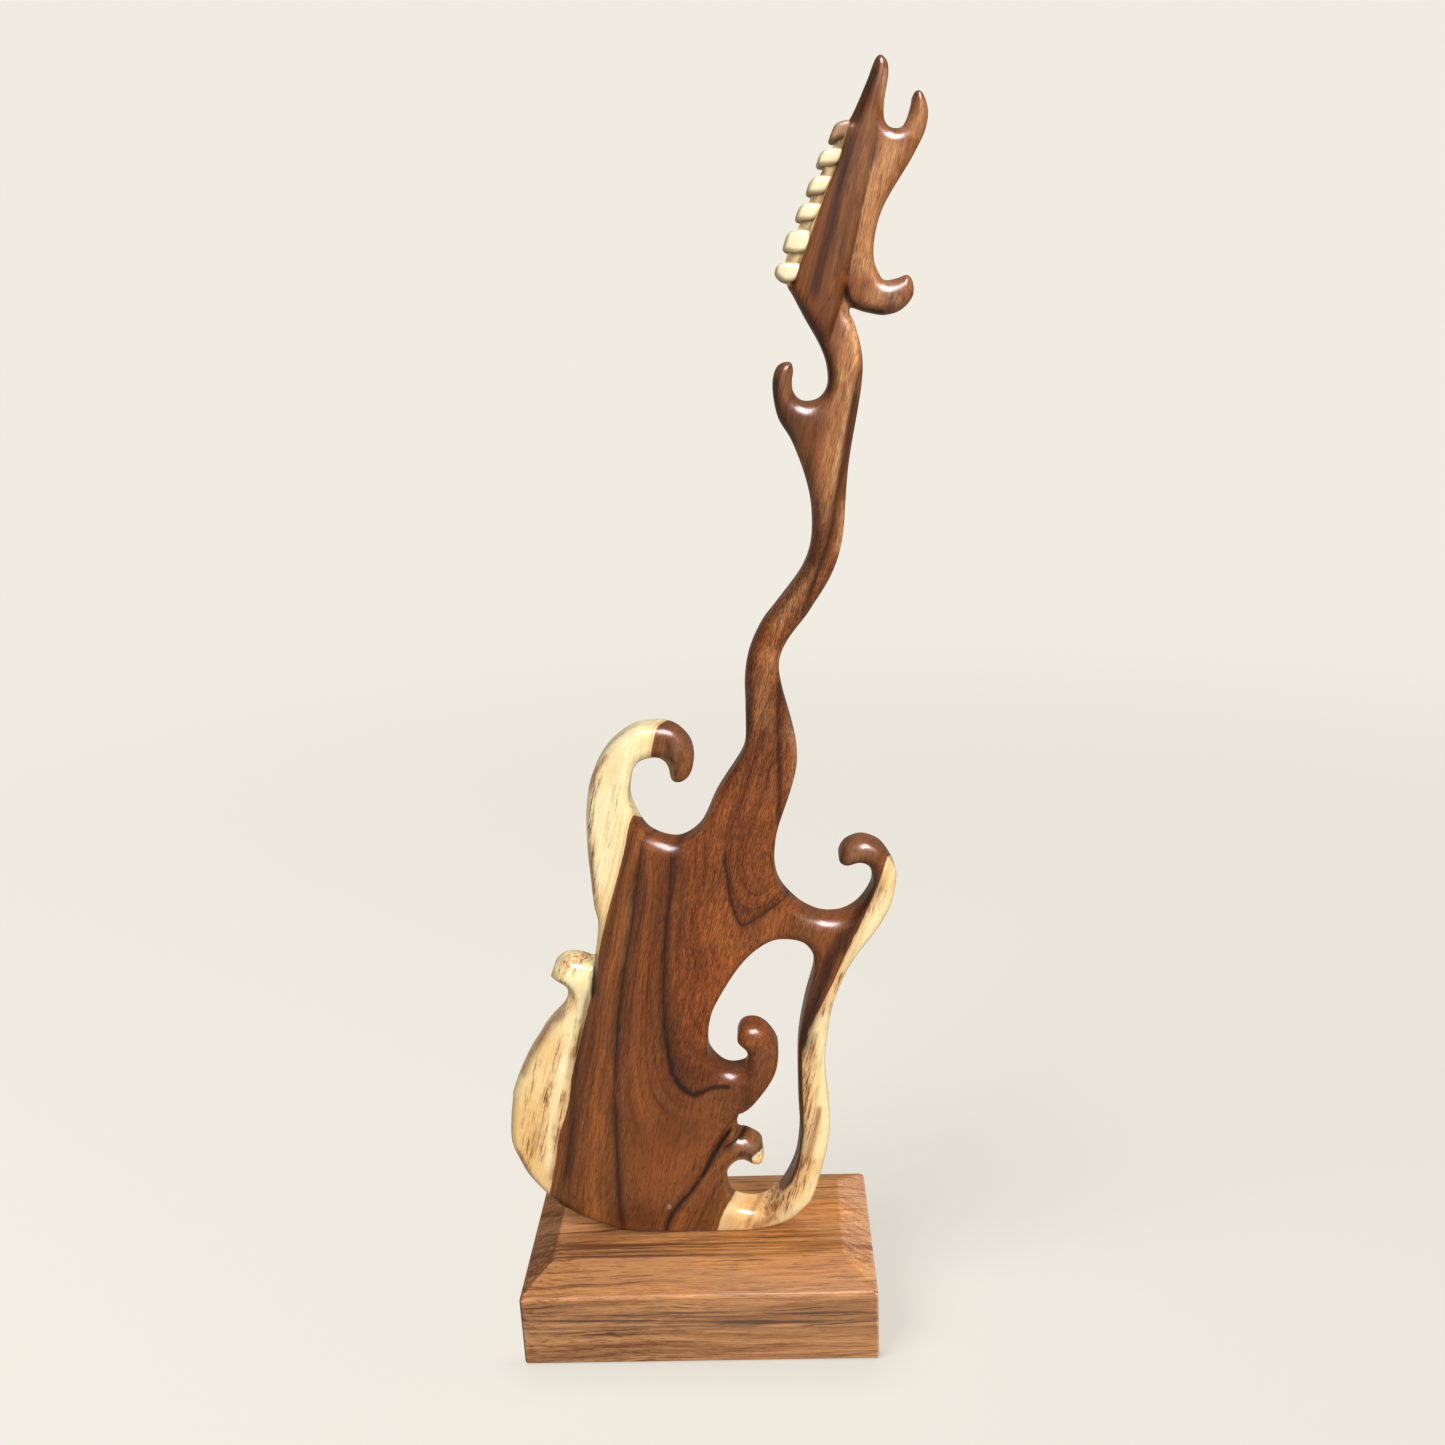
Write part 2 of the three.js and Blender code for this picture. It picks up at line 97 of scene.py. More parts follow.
# ---- outlines: x z of each station, before they are moved onto the board's box ----------
OUTLINE = table("""
0 46.3, 22.4 46.2, 31.9 47.7, 46.6 52.8, 54.6 60, 58 64, 62.8 77.5, 68.8 106, 67.6 135.9,
67.4 146.7, 71.4 174, 78 192, 84.3 202.7, 91.7 212.6, 97.3 221.3, 101 228.9, 103.7 242.9,
103.2 246.9, 99.1 254.9, 96.1 258.5, 90.8 261.3, 86.5 262, 79.9 259.5, 76.8 255, 76.6 251.1,
77.8 249.8, 80.3 249, 86.6 250.2, 90.5 248.5, 91.8 245.2, 92.2 238.5, 86 227.9, 78.6 223.3,
70.3 222.6, 64.5 223.9, 55.9 229, 47 241.2, 46.4 263, 57.9 302.8, 51.3 351.7, 66.2 374.6,
75.6 389, 80.5 402.5, 84.2 437.1, 91.1 480, 87.9 496.9, 86 501.3, 86.3 503.3, 92.9 501.3,
101.5 499.7, 108 501.6, 112.8 507.2, 112.4 513.1, 110.3 515.4, 107.1 514.5, 102 513.6,
100.1 514.1, 98.8 516, 96.7 520.8, 96.4 527.5, 99.8 541, 113.3 562.3, 118.3 572.2, 119 579.3,
116.9 584.9, 115.5 586.1, 113.8 585.6, 112.9 581.9, 110.6 575.6, 108 572.6, 103.8 572.9,
101.5 575.5, 101.2 581.5, 103.2 593.7, 102.5 597.6, 100.1 599.9, 98.4 599.1, 95.2 592.2,
87.6 577.2, 84.5 573.6, 80.1 566.5, 65.6 537, 59.2 522, 60.1 513.3, 61.8 510.2, 66.9 500.2,
73.5 487.9, 76 479.9, 76 471.5, 72.6 466.8, 67.6 465.4, 63.8 466.3, 61 470, 60.7 474.8,
61.3 478.7, 60.3 482, 55.2 481.1, 52.4 475.1, 53.9 459.7, 59.6 449.2, 65.7 431.5, 67.8 418.4,
66.9 402.9, 62.8 392.5, 50.9 377, 44.1 368.6, 37.7 355.7, 35.1 343.6, 34.8 330.9, 33.9 311.3,
32.4 306.8, 19.7 287.4, 10.6 270.1, 2.4 264.7, -2.7 264.4, -11.4 267.3, -15.8 270.8, -22 285,
-21.2 294.5, -18.9 301.3, -15.4 305.1, -8.1 306.2, -4.9 304.6, -2.9 301.7, -1.2 294.8,
2 293.7, 6.2 295.9, 9 301.5, 8.5 311.4, 2.8 319.1, -3.6 322.1, -10 322.3, -18.2 321.1,
-30.2 312.6, -38.4 299.9, -42.3 283.7, -43.5 260.1, -43.1 249.3, -42.4 231.8, -41.2 224.3,
-44.1 205.7, -45.3 202, -46.4 201.1, -48.8 202.3, -54.1 203.9, -59.7 203.8, -64.6 200.5,
-65.8 197.6, -67 194.6, -66.1 193.8, -64.5 192.1, -59.3 187.5, -62.2 176.9, -69.2 169.2,
-73 164.6, -76.8 158.6, -81.7 151.4, -91 131.9, -91.5 128.3, -93.4 116.5, -94.1 102.9,
-90.4 91.1, -86.8 83.1, -73.4 66.2, -67.3 61.7, -61 57.4, -34.3 48, -26 47.3
""")
OPENING = table("""
15 72.2, 17.6 63.2, 30.1 59.9, 39.5 64.6, 49.8 82, 53.5 101.6, 53.4 125.1, 54.4 155.5,
58.1 175.9, 63 194.5, 63 200.1, 62.6 203.6, 59.7 208.3, 55.7 210.9, 45.1 211.9, 36.2 207.5,
26.9 198.3, 12.9 175.5, 10.8 169, 9.2 159.2, 9.5 149.3, 15.9 141.8, 21.2 140, 27.3 141.3,
28.3 143.7, 28.3 150.4, 23.9 156.2, 24.8 161.6, 27.4 164.4, 33.6 164.9, 38.7 161.8,
43.3 154.4, 44.1 150.2, 41.9 137.7, 30.4 120.5, 23.5 113.8, 21.9 110.8, 21.6 107.6,
22.1 102.7, 26.7 101.7, 33.4 97, 34.2 91.9, 34.5 89.2, 32.8 86.2, 29 86.3, 24.4 88.7,
21.3 88.5, 18.6 86.8, 15.9 82.9
""")
# one outline per peg, from the top down
PEGS = [table(outline) for outline in """
87 576, 83.3 575.8, 81 574.7, 79.6 572.4, 78.6 569.7, 79.4 568.6, 83 568.5, 86.4 569.2, 88 572.6;
84.4 565.4, 80.3 566, 76.9 565.7, 74.9 564.2, 73.3 561, 73.7 559.6, 77.6 558.8, 81.6 559.2, 83.9 562;
79.8 554.9, 76.4 555.7, 72.5 555.4, 70.2 553.6, 68.7 549.9, 69.4 548.7, 73 548.1, 76.4 548.5,
78.9 551.5;
76 544.7, 72 545.4, 67.7 545.3, 65.3 543.4, 63.9 539.9, 64.7 538.7, 68.6 538, 72 538.4, 74.8 541.4;
71.8 534.3, 67.6 535.2, 63.2 535.2, 60.5 533.9, 58.9 530.8, 58.3 528.1, 59.2 526.9, 64 525.6,
68.6 526.2, 70.9 530;
67.4 521.6, 63 522.4, 57.6 522.5, 55.4 521.2, 54.5 518.6, 56 516, 58.6 514.4, 62.6 514.4, 66.2 517.4
""".split(";")]


# ---- curves and distance maps ----------------------------------------------------------
def smooth_curve(stations, step, closed=True):
    """Centripetal Catmull-Rom curve through the stations."""
    points = np.array(stations, float)
    if closed:
        spans = [np.roll(points, k, 0) for k in (1, 0, -1, -2)]
    else:
        longer = np.vstack([2 * points[0] - points[1], points, 2 * points[-1] - points[-2]])
        spans = [longer[:-3], longer[1:-2], longer[2:-1], longer[3:]]
    out = []
    for before, start, end, after in zip(*spans):
        gap_before = max(np.hypot(*(start - before)) ** 0.5, 1e-4)
        gap = max(np.hypot(*(end - start)) ** 0.5, 1e-4)
        gap_after = max(np.hypot(*(after - end)) ** 0.5, 1e-4)
        leave = ((start - before) / gap_before - (end - before) / (gap_before + gap)
                 + (end - start) / gap) * gap
        arrive = ((end - start) / gap - (after - start) / (gap + gap_after)
                  + (after - end) / gap_after) * gap
        count = max(2, int(math.ceil(np.hypot(*(end - start)) / step)))
        t = (np.arange(count) / count)[:, None]
        out.append((2 * t**3 - 3 * t**2 + 1) * start + (t**3 - 2 * t**2 + t) * leave
                   + (-2 * t**3 + 3 * t**2) * end + (t**3 - t**2) * arrive)
    if not closed:
        out.append(points[-1:])
    return np.vstack(out)


class Raster:
    """Regular samples over the XZ plane; its maps are arrays indexed [x, z]."""

    def __init__(self, x0, x1, z0, z1, step):
        self.x0, self.z0, self.step = x0, z0, step
        self.nx, self.nz = int((x1 - x0) / step) + 2, int((z1 - z0) / step) + 2
        self.x = x0 + step * np.arange(self.nx)[:, None]
        self.z = z0 + step * np.arange(self.nz)[None, :]

    def zeros(self):
        return np.zeros((self.nx, self.nz))

    def window(self, xs, zs, reach):
        """Slices that cover the points and `reach` around them."""
        slices = []
        for values, origin, count in ((xs, self.x0, self.nx), (zs, self.z0, self.nz)):
            first = max(0, int((min(values) - reach - origin) / self.step))
            last = min(count, int((max(values) + reach - origin) / self.step) + 2)
            slices.append(slice(first, last))
        return tuple(slices)

    def signed(self, loops, reach):
        """Distance to the nearest edge, negative inside the loops."""
        best = np.full((self.nx, self.nz), reach * reach)
        toggles = np.zeros((self.nx + 1, self.nz), np.int32)
        for loop in loops:
            for (ax, az), (bx, bz) in zip(loop, np.roll(loop, -1, 0)):
                window = self.window((ax, bx), (az, bz), reach)
                ex, ez = bx - ax, bz - az
                dx, dz = self.x[window[0]] - ax, self.z[:, window[1]] - az
                along = np.clip((dx * ex + dz * ez) / (ex * ex + ez * ez + 1e-12), 0, 1)
                square = (dx - along * ex) ** 2 + (dz - along * ez) ** 2
                best[window] = np.minimum(best[window], square)
                if az == bz:
                    continue
                # every crossing flips what lies to its right
                low, high = min(az, bz), max(az, bz)
                j = np.arange(max(0, math.ceil((low - self.z0) / self.step)),
                              min(self.nz, math.ceil((high - self.z0) / self.step)))
                if len(j):
                    z = self.z0 + j * self.step
                    x = ax + (z - az) * (bx - ax) / (bz - az)
                    i = np.clip(np.ceil((x - self.x0) / self.step), 0, self.nx).astype(int)
                    np.add.at(toggles, (i, j), 1)
        inside = (np.cumsum(toggles, 0)[:-1] % 2) == 1
        return np.where(inside, -1, 1) * np.sqrt(best)

    def beside(self, line, reach):
        """Window, signed distance (positive left of travel) and 0..1 place along a line."""
        points = smooth_curve(line, LINE_STEP, closed=False)
        window = self.window(points[:, 0], points[:, 1], reach)
        x, z = self.x[window[0]], self.z[:, window[1]]
        shape = (x.shape[0], z.shape[1])
        best, sign, place = np.full(shape, 1e9), np.ones(shape), np.zeros(shape)
        lengths = np.hypot(*(points[1:] - points[:-1]).T)
        total, run = lengths.sum(), 0.0
        for (ax, az), (bx, bz), length in zip(points[:-1], points[1:], lengths):
            ex, ez = bx - ax, bz - az
            dx, dz = x - ax, z - az
            along = np.clip((dx * ex + dz * ez) / (length * length + 1e-12), 0, 1)
            square = (dx - along * ex) ** 2 + (dz - along * ez) ** 2
            nearer = square < best
            best = np.where(nearer, square, best)
            sign = np.where(nearer, np.where(ex * dz - ez * dx >= 0, 1.0, -1.0), sign)
            place = np.where(nearer, (run + along * length) / total, place)
            run += length
        return window, np.sqrt(best) * sign, place

    def sample(self, values, x, z):
        """Bilinear value of a map at each point."""
        fx = np.clip((x - self.x0) / self.step, 0, self.nx - 1.001)
        fz = np.clip((z - self.z0) / self.step, 0, self.nz - 1.001)
        i, j = fx.astype(int), fz.astype(int)
        u, v = fx - i, fz - j
        return (values[i, j] * (1 - u) * (1 - v) + values[i + 1, j] * u * (1 - v)
                + values[i, j + 1] * (1 - u) * v + values[i + 1, j + 1] * u * v)


def smoothstep(x):
    x = np.clip(x, 0, 1)
    return x * x * (3 - 2 * x)


def taper(place, share):
    """Fades in and out over a share of a line at each of its ends."""
    return smoothstep(np.minimum(place, 1 - place) / share)


def blur(values, sigma):
    """Gaussian blur of a map, sigma in samples."""
    reach = int(3 * sigma) + 1
    weights = np.exp(-0.5 * (np.arange(-reach, reach + 1) / sigma) ** 2)
    weights /= weights.sum()
    for axis in (0, 1):
        margin = [(reach, reach) if a == axis else (0, 0) for a in (0, 1)]
        padded = np.pad(values, margin, mode="edge")
        out = np.zeros_like(values)
        for n, weight in enumerate(weights):
            if axis == 0:
                out += weight * padded[n:n + values.shape[0]]
            else:
                out += weight * padded[:, n:n + values.shape[1]]
        values = out
    return values


# ---- surface of a level set --------------------------------------------------------------
def surface_net(axes, values):
    """Outward facing quad mesh round the negative region of a 3D grid of values."""
    inside = values < 0
    cells = tuple(n - 1 for n in values.shape)
    corners = list(np.ndindex(2, 2, 2))
    filled = np.zeros(cells, np.int8)
    for corner in corners:
        filled += inside[tuple(slice(c, c + n) for c, n in zip(corner, cells))]
    active = (filled > 0) & (filled < 8)
    cell = np.argwhere(active)
    number = np.full(cells, -1, np.int64)
    number[active] = np.arange(len(cell))
    # each vertex is the mean of the crossings on its cell's edges
    offset, crossings = np.zeros((len(cell), 3)), np.zeros(len(cell))
    for start in corners:
        for axis in range(3):
            if start[axis]:
                continue
            end = tuple(c + (k == axis) for k, c in enumerate(start))
            start_value, end_value = values[tuple((cell + start).T)], values[tuple((cell + end).T)]
            crossed = (start_value < 0) != (end_value < 0)
            point = np.tile(np.array(start, float), (len(cell), 1))
            point[:, axis] += np.where(
                crossed, start_value / np.where(crossed, start_value - end_value, 1), 0)
            offset[crossed] += point[crossed]
            crossings[crossed] += 1
    index = cell + offset / crossings[:, None]
    points = np.stack([np.interp(index[:, k], np.arange(len(axis)), axis)
                       for k, axis in enumerate(axes)], 1)
    quads = []
    for axis in range(3):
        u, v = (axis + 1) % 3, (axis + 2) % 3
        low = [slice(1, -1)] * 3
        low[axis] = slice(0, -1)
        high = [slice(1, -1)] * 3
        high[axis] = slice(1, None)
        near, far = inside[tuple(low)], inside[tuple(high)]
        for first, flip in ((True, False), (False, True)):
            edge = np.argwhere((near == first) & (far != first))
            edge[:, u] += 1
            edge[:, v] += 1
            ring = []
            for du, dv in ((-1, -1), (0, -1), (0, 0), (-1, 0)):
                around = edge.copy()
                around[:, u] += du
                around[:, v] += dv
                ring.append(number[tuple(around.T)])
            ring = np.stack(ring, 1)
            quads.append(ring[:, ::-1] if flip else ring)
    return points, np.vstack(quads)


def settle(points, quads, field, probe):
    """Slides the vertices onto the surface and evens their spacing."""

    def project(points):
        x, y, z = points.T
        value = field(x, y, z)
        slope = np.stack([field(x + probe, y, z) - value, field(x, y + probe, z) - value,
                          field(x, y, z + probe) - value], 1) / probe
        steepness = np.maximum((slope * slope).sum(1), 0.05)
        move = (value / steepness)[:, None] * slope
        size = np.linalg.norm(move, axis=1)
        move *= np.minimum(1, 0.6 / np.maximum(size, 1e-9))[:, None]
        return points - move

    one, other = np.vstack([quads[:, [k, (k + 1) % 4]] for k in range(4)]).T
    n = len(points)
    neighbours = np.bincount(one, minlength=n) + np.bincount(other, minlength=n)
    for _ in range(2):
        points = project(points)
        total = np.stack([np.bincount(one, points[other, k], n)
                          + np.bincount(other, points[one, k], n) for k in range(3)], 1)
        mean = total / np.maximum(neighbours, 1)[:, None]
        points = points + 0.6 * (mean - points)
    for _ in range(3):
        points = project(points)
    return points


def solid(field, axes, probe):
    """Points and quads of the surface where the field is zero."""
    grids = np.meshgrid(*axes, indexing="ij")
    values = field(*(grid.ravel() for grid in grids)).reshape(grids[0].shape)
    points, quads = surface_net(axes, values)
    return settle(points, quads, field, probe), quads


def spaced(low, high, step):
    count = max(2, int(round((high - low) / step)))
    return low + (high - low) * np.arange(count + 1) / count


def round_corner(first, second, radius):
    """Intersection of two distances with a rounded arris."""
    u, v = first + radius, second + radius
    return (np.hypot(np.maximum(u, 0), np.maximum(v, 0))
            + np.minimum(np.maximum(u, v), 0) - radius)


# ---- mesh helpers --------------------------------------------------------------------------
def link_object(name, mesh):
    ob = bpy.data.objects.new(name, mesh)
    bpy.context.scene.collection.objects.link(ob)
    return ob


def mesh_object(name, points, faces, smooth=True):
    """Object from points in mm; faces may differ in size."""
    mesh = bpy.data.meshes.new(name)
    mesh.vertices.add(len(points))
    mesh.vertices.foreach_set("co", (np.asarray(points, float) * MM).astype(np.float32).ravel())
    corners = np.concatenate(faces).astype(np.int32)
    starts = np.cumsum([0] + [len(face) for face in faces[:-1]]).astype(np.int32)
    mesh.loops.add(len(corners))
    mesh.loops.foreach_set("vertex_index", corners)
    mesh.polygons.add(len(faces))
    mesh.polygons.foreach_set("loop_start", starts)
    mesh.update(calc_edges=True)
    mesh.validate()
    if smooth:
        mesh.polygons.foreach_set("use_smooth", np.ones(len(mesh.polygons), bool))
    return link_object(name, mesh)


def attribute(ob, name, values):
    layer = ob.data.attributes.new(name, "FLOAT", "POINT")
    layer.data.foreach_set("value", np.asarray(values, np.float32))


def ring_points(rings, segments, x=0.0, y=0.0):
    """Points of rings, given as (radius, z), about a vertical axis."""
    turns = [2 * math.pi * k / segments for k in range(segments)]
    return np.array([(x + r * math.cos(a), y + r * math.sin(a), z)
                     for r, z in rings for a in turns])


def side_quads(rows, count):
    return [(i * count + k, i * count + (k + 1) % count,
             (i + 1) * count + (k + 1) % count, (i + 1) * count + k)
            for i in range(rows - 1) for k in range(count)]


def caps(rows, count):
    """Faces that close the first and the last row."""
    return [tuple(range(count))[::-1], tuple((rows - 1) * count + k for k in range(count))]


# ---- the board: its edges rounded by hand and its face lightly carved ------------------------
board_low, board_high = node_box("guitar_carving")
FRONT, BACK = board_low[1], board_high[1]
FOOT, TOP = board_low[2], board_high[2]
outer = smooth_curve(OUTLINE, OUTLINE_STEP)
shift = np.array([(board_low[0] + board_high[0] - outer[:, 0].min() - outer[:, 0].max()) / 2,
                  TOP - outer[:, 1].max()])
outer = outer + shift
opening = smooth_curve(OPENING, OUTLINE_STEP) + shift

raster = Raster(board_low[0] - 4, board_high[0] + 4, FOOT - 6, TOP + 4, 0.4)
edge_map = raster.signed([outer, opening], 11.0)
edge_map = np.where(edge_map < -6, np.minimum(blur(edge_map, 2.0), -6), edge_map)


def spot(x, z, reach, power=1.0):
    """Map that is 1 at a place and falls off around it."""
    square = (raster.x - x) ** 2 + (raster.z - z) ** 2
    return np.exp(-((square / reach**2) ** power))


# x z reach radius: the edge's rounding, wider where a scroll turns over
ROUNDING = """
0 303 13 7.0, -10 316 12 5.6, -6 262 12 7.4, 70 221 14 7.2, 84 256 12 6.2, 34 157 13 6.4,
17 137 11 7.0, 28 97 11 7.4, -57 197 12 6.4, 24 62 10 5.6, 103 508 13 6.8, 101 594 8 5.4,
115 579 9 6.0, 103 569 8 6.3, 57 474 12 6.0, 66 460 12 7.4, 64 410 22 5.6, 40 355 20 5.4,
62 120 22 5.2, 97 240 14 5.6
"""
radius_map = np.full((raster.nx, raster.nz), EDGE_RADIUS)
for x, z, reach, radius in table(ROUNDING):
    radius_map += (radius - EDGE_RADIUS) * spot(x, z, reach)

# the pegged edge of the headstock is cut square
PEG_LINE = """62 508, 63.4 515, 65.7 522.4, 68.8 529.3, 70.3 535.7, 73.6 541.5, 77.5 551,
82.7 561, 85.2 571, 87.2 576.5"""
window, side, place = raster.beside(table(PEG_LINE), 16.0)
square_cut = np.exp(-((np.maximum(np.abs(side - 3.0) - 3.5, 0) / 2.0) ** 2))
radius_map[window] += ((PEG_EDGE_RADIUS - radius_map[window]) * square_cut * taper(place, 0.08))

# depth of the carved face below the board's face: worn rims and two faint ripples
face_map = 0.55 * np.exp(np.minimum(edge_map + 1.5, 0) / 5.0)
face_map += 0.05 * np.sin(raster.x / 7.3 + 1.0) * np.sin(raster.z / 11.7 + 0.4)
face_map += (0.05 * np.sin((raster.x * 0.8 + raster.z * 0.35) / 5.1)
             * np.sin(raster.z / 17.0 + 2.0))


# In the three cuts below, `line` is "x z, ...", the stops are "place amount, ..." along it
# from 0 to 1, and `side` is +1 for the left of the line's travel and -1 for the right.
def profile(place, stops):
    places, amounts = zip(*table(stops))
    return np.interp(place, places, amounts)


def groove(line, width, depths):
    window, side, place = raster.beside(table(line), width * 3.2)
    face_map[window] += profile(place, depths) * np.exp(-((side / width) ** 2))


def ledge(line, side, rise, fade, depths):
    """Face drops along the line on one side, and comes back up over `fade`."""
    window, away, place = raster.beside(table(line), fade * 2.4)
    away = away * side
    face_map[window] += (profile(place, depths) * smoothstep(away / rise + 0.15)
                         * np.exp(-((np.maximum(away, 0) / fade) ** 2)))


def facet(line, side, slopes):
    """Face turns away along the line on one side."""
    softness, reach, deepest = 0.7, 14.0, 6.0
    window, away, place = raster.beside(table(line), reach)
    away = away * side
    bend = softness * np.log1p(np.exp(np.clip(away / softness, -30, 30)))
    face_map[window] += profile(place, slopes) * np.minimum(bend, deepest)


# where the headstock's face plate and its lower scroll meet over the neck
ledge("70 478, 75 490, 78 497, 80.3 503, 82.2 508.5, 84 515", side=-1, rise=1.4, fade=9.0,
      depths="0 0, 0.3 0.9, 0.7 2.4, 1 3.2")
groove("80.5 502, 82.8 509, 84.1 514.6, 84.8 519, 86.5 526", width=1.1,
       depths="0 0.3, 0.5 1.5, 0.7 0.6, 1 0")
ledge("84.1 514.5, 84.3 510, 85.6 506, 87.2 502", side=-1, rise=1.0, fade=6.0,
      depths="0 0.8, 0.4 1.3, 1 0.8")
# the plate stands a little proud of the scroll beside it
ledge("84 514, 85.8 521, 88.3 530, 90.7 541, 93.3 550, 96 560, 97.8 569", side=-1, rise=0.8,
      fade=9.0, depths="0 0.9, 0.3 0.7, 0.7 0.5, 1 0")
# cream web between the pegs lies below the face plate
ledge(PEG_LINE, side=1, rise=0.7, fade=14.0, depths="0 0, 0.1 3.4, 0.85 3.4, 0.95 0.9, 1 0")
# the neck's right-hand side falls away in a long facet, above and below the bend
facet("58 366, 66 380, 70 390, 76 408, 79 420, 81 430, 85 450, 88 465, 89.5 482", side=-1,
      slopes="0 0, 0.15 0.3, 0.5 0.42, 0.8 0.4, 1 0")
facet("46 268, 49.5 290, 49.5 310, 49.5 330, 50.5 350", side=-1,
      slopes="0 0, 0.25 0.3, 0.6 0.42, 1 0")
# left-hand shoulder of the neck
facet("33 300, 41 330, 42.5 350, 50 366, 62 382", side=1, slopes="0 0, 0.3 0.22, 0.7 0.22, 1 0")
facet("62 382, 70 395, 73.5 415, 72 436, 66 455", side=1, slopes="0 0, 0.3 0.24, 0.7 0.24, 1 0")
# lower hook laps against the body
HOOK_EDGE = "23 115, 17.5 108.5, 13.5 103, 10 98, 7 92, 4.5 85, 1 77"
groove(HOOK_EDGE, width=2.1, depths="0 3.8, 0.3 3.4, 0.55 2.2, 0.8 0.9, 1 0")
groove("13 97.5, 20 101.5, 26 104.3, 31 106.2", width=1.3, depths="0 0.6, 0.5 0.9, 1 0.2")
ledge(HOOK_EDGE, side=1, rise=1.2, fade=7.0, depths="0 1.2, 0.5 0.9, 0.85 0.2, 1 0")
# small left scroll against the body, and the hollow under its head
groove("-44.9 206, -45.2 199, -46.2 190, -48 180", width=1.8, depths="0 2.8, 0.5 2.0, 1 0")
groove("-68 195, -62 191, -57.5 186, -56.5 178, -60 166", width=2.4,
       depths="0 1.4, 0.35 1.5, 0.7 0.7, 1 0")
# shallow run-outs from the round hollows into the face
groove("12 150, 4 143, -4 141", width=3.4, depths="0 0.5, 0.5 0.35, 1 0")
groove("64 206, 66 196, 63 180", width=2.2, depths="0 0.4, 0.6 0.5, 1 0")


def board_field(x, y, z):
    front = FRONT + raster.sample(face_map, x, z) - y
    slab = round_corner(raster.sample(edge_map, x, z), np.maximum(front, y - BACK),
                        raster.sample(radius_map, x, z))
    return round_corner(slab, FOOT - z, FOOT_RADIUS)


board_points, board_quads = solid(board_field, (
    spaced(board_low[0] - 2.5, board_high[0] + 2.5, BOARD_CELL),
    spaced(FRONT - 1.9, BACK + 1.9, BOARD_CELL),
    spaced(FOOT - 1.8, TOP + 2.5, BOARD_CELL)), probe=0.04)
board_points[:, 2] = np.maximum(board_points[:, 2], FOOT)
carving = mesh_object("carved_guitar", board_points, board_quads)

# ---- growth lines: one number per point, level along every growth line of the board --------
# number: x z, ... across the carved face; 0 is the edge of the pale sapwood
GROWTH = """
-1: -94 60, -93 100, -90 140, -84 170, -72 210, -60 250, -50 285, -42 325;
0: -82 60, -76.2 76, -71.9 92, -69 107, -65 119, -62 128, -60 140, -55 158, -50 175, -46 190,
-42 208, -38.6 220, -33.9 235, -28.9 250, -24.6 265, -20.3 283, -14 300, -8.5 315, -6.5 328,
10 370, 28 420, 46 470, 50 490, 54 503, 59 511.5, 62.8 516.4, 65.7 522, 68.8 529, 71.5 536,
73.8 541.5, 77.7 551, 82.3 561, 85.2 570, 88 580, 95 600;
1: -68 62, -65 80, -61 100, -57 120, -53 140, -48 160, -43 185, -38 205, -33 225, -28 245,
-22.5 262, -17.5 283, -4 318, 18 372, 36 420, 51 462, 60 495, 66.5 515, 72 532, 77 545,
81 556, 86.5 569, 91 582, 97.5 598;
2: -41 48, -41 60, -40.5 80, -39 105, -38 130, -36 155, -33 178, -29 200, -24 222, -20 245,
-17 262, -11 285, 2 320, 14 350, 30 395, 46 440, 56 470, 66 503, 69 510, 73 522, 77 535,
80.5 546, 84.5 558, 89 570, 93.5 581, 98.5 593;
3: -2 262, -4 243, -7 222, -9.5 200, -11 180, -11 162, -9.5 148, -7.5 139, -3 132, 1 129,
5 132, 12 136, 20 137, 32 141, 39 152, 45 168, 52 195, 57 210, 60 222, 62 236;
3: 5 285, 15 315, 26 345, 40 385, 54 425, 67 465, 76 491, 80 503, 84 515, 87 525, 89.3 535,
92.3 550, 95 560, 97.5 572, 100.5 588, 102 600;
4: 22 262, 23 250, 24 238, 27 227, 31 223.5, 38 228, 45 233, 51 243, 56 256;
4: 29 290, 40 320, 50 350, 62 385, 75 425, 84 460, 90 485, 95 510, 99 530, 104 550, 110 570,
117 590;
0: 8 48, 10.5 55, 13.5 62.5, 17 66.5, 24 68.8, 30 69, 36 67, 41 69, 46 74, 50 81, 52.6 91,
54.2 104, 54.8 120, 55 135, 55.2 149, 58.6 163, 66.4 178.5, 73 192.5, 77.6 203.4, 82 213,
87 224, 91 234, 95 244, 98 254, 99.5 262;
1: -5 48, 3 64, 9 77, 18 86, 31 97, 42 118, 48 142, 53 157, 58 171, 65 187, 70 200, 75 213,
81 226, 86 238, 89 250, 90 262;
2: -18 50, -15 60, -10 68, -5 76, 3 86, 9 92, 15 97, 22 102, 31 106.5, 39 125, 45 148, 50 165,
57 183, 63 200, 67 213, 72 228, 76 245, 77 262;
-1: 40 48, 55 60, 62 80, 66 110, 66 140, 70 165, 80 190, 90 210, 99 230, 105 250, 107 262
"""
# x z number: single places in the heartwood
HEART = """
38 262 4.7, 42 250 4.8, 36 240 4.5, 45 300 4.6, 48 285 4.6, 66 360 4.4, 80 400 4.3,
-15 95 2.35, -20 70 2.25, -8 110 2.5, 5 112 2.55, 100 505 3.8, 110 510 4.0, 92 520 3.6,
15 200 3.6, 5 165 3.4, 25 210 3.9, 10 150 3.2
"""

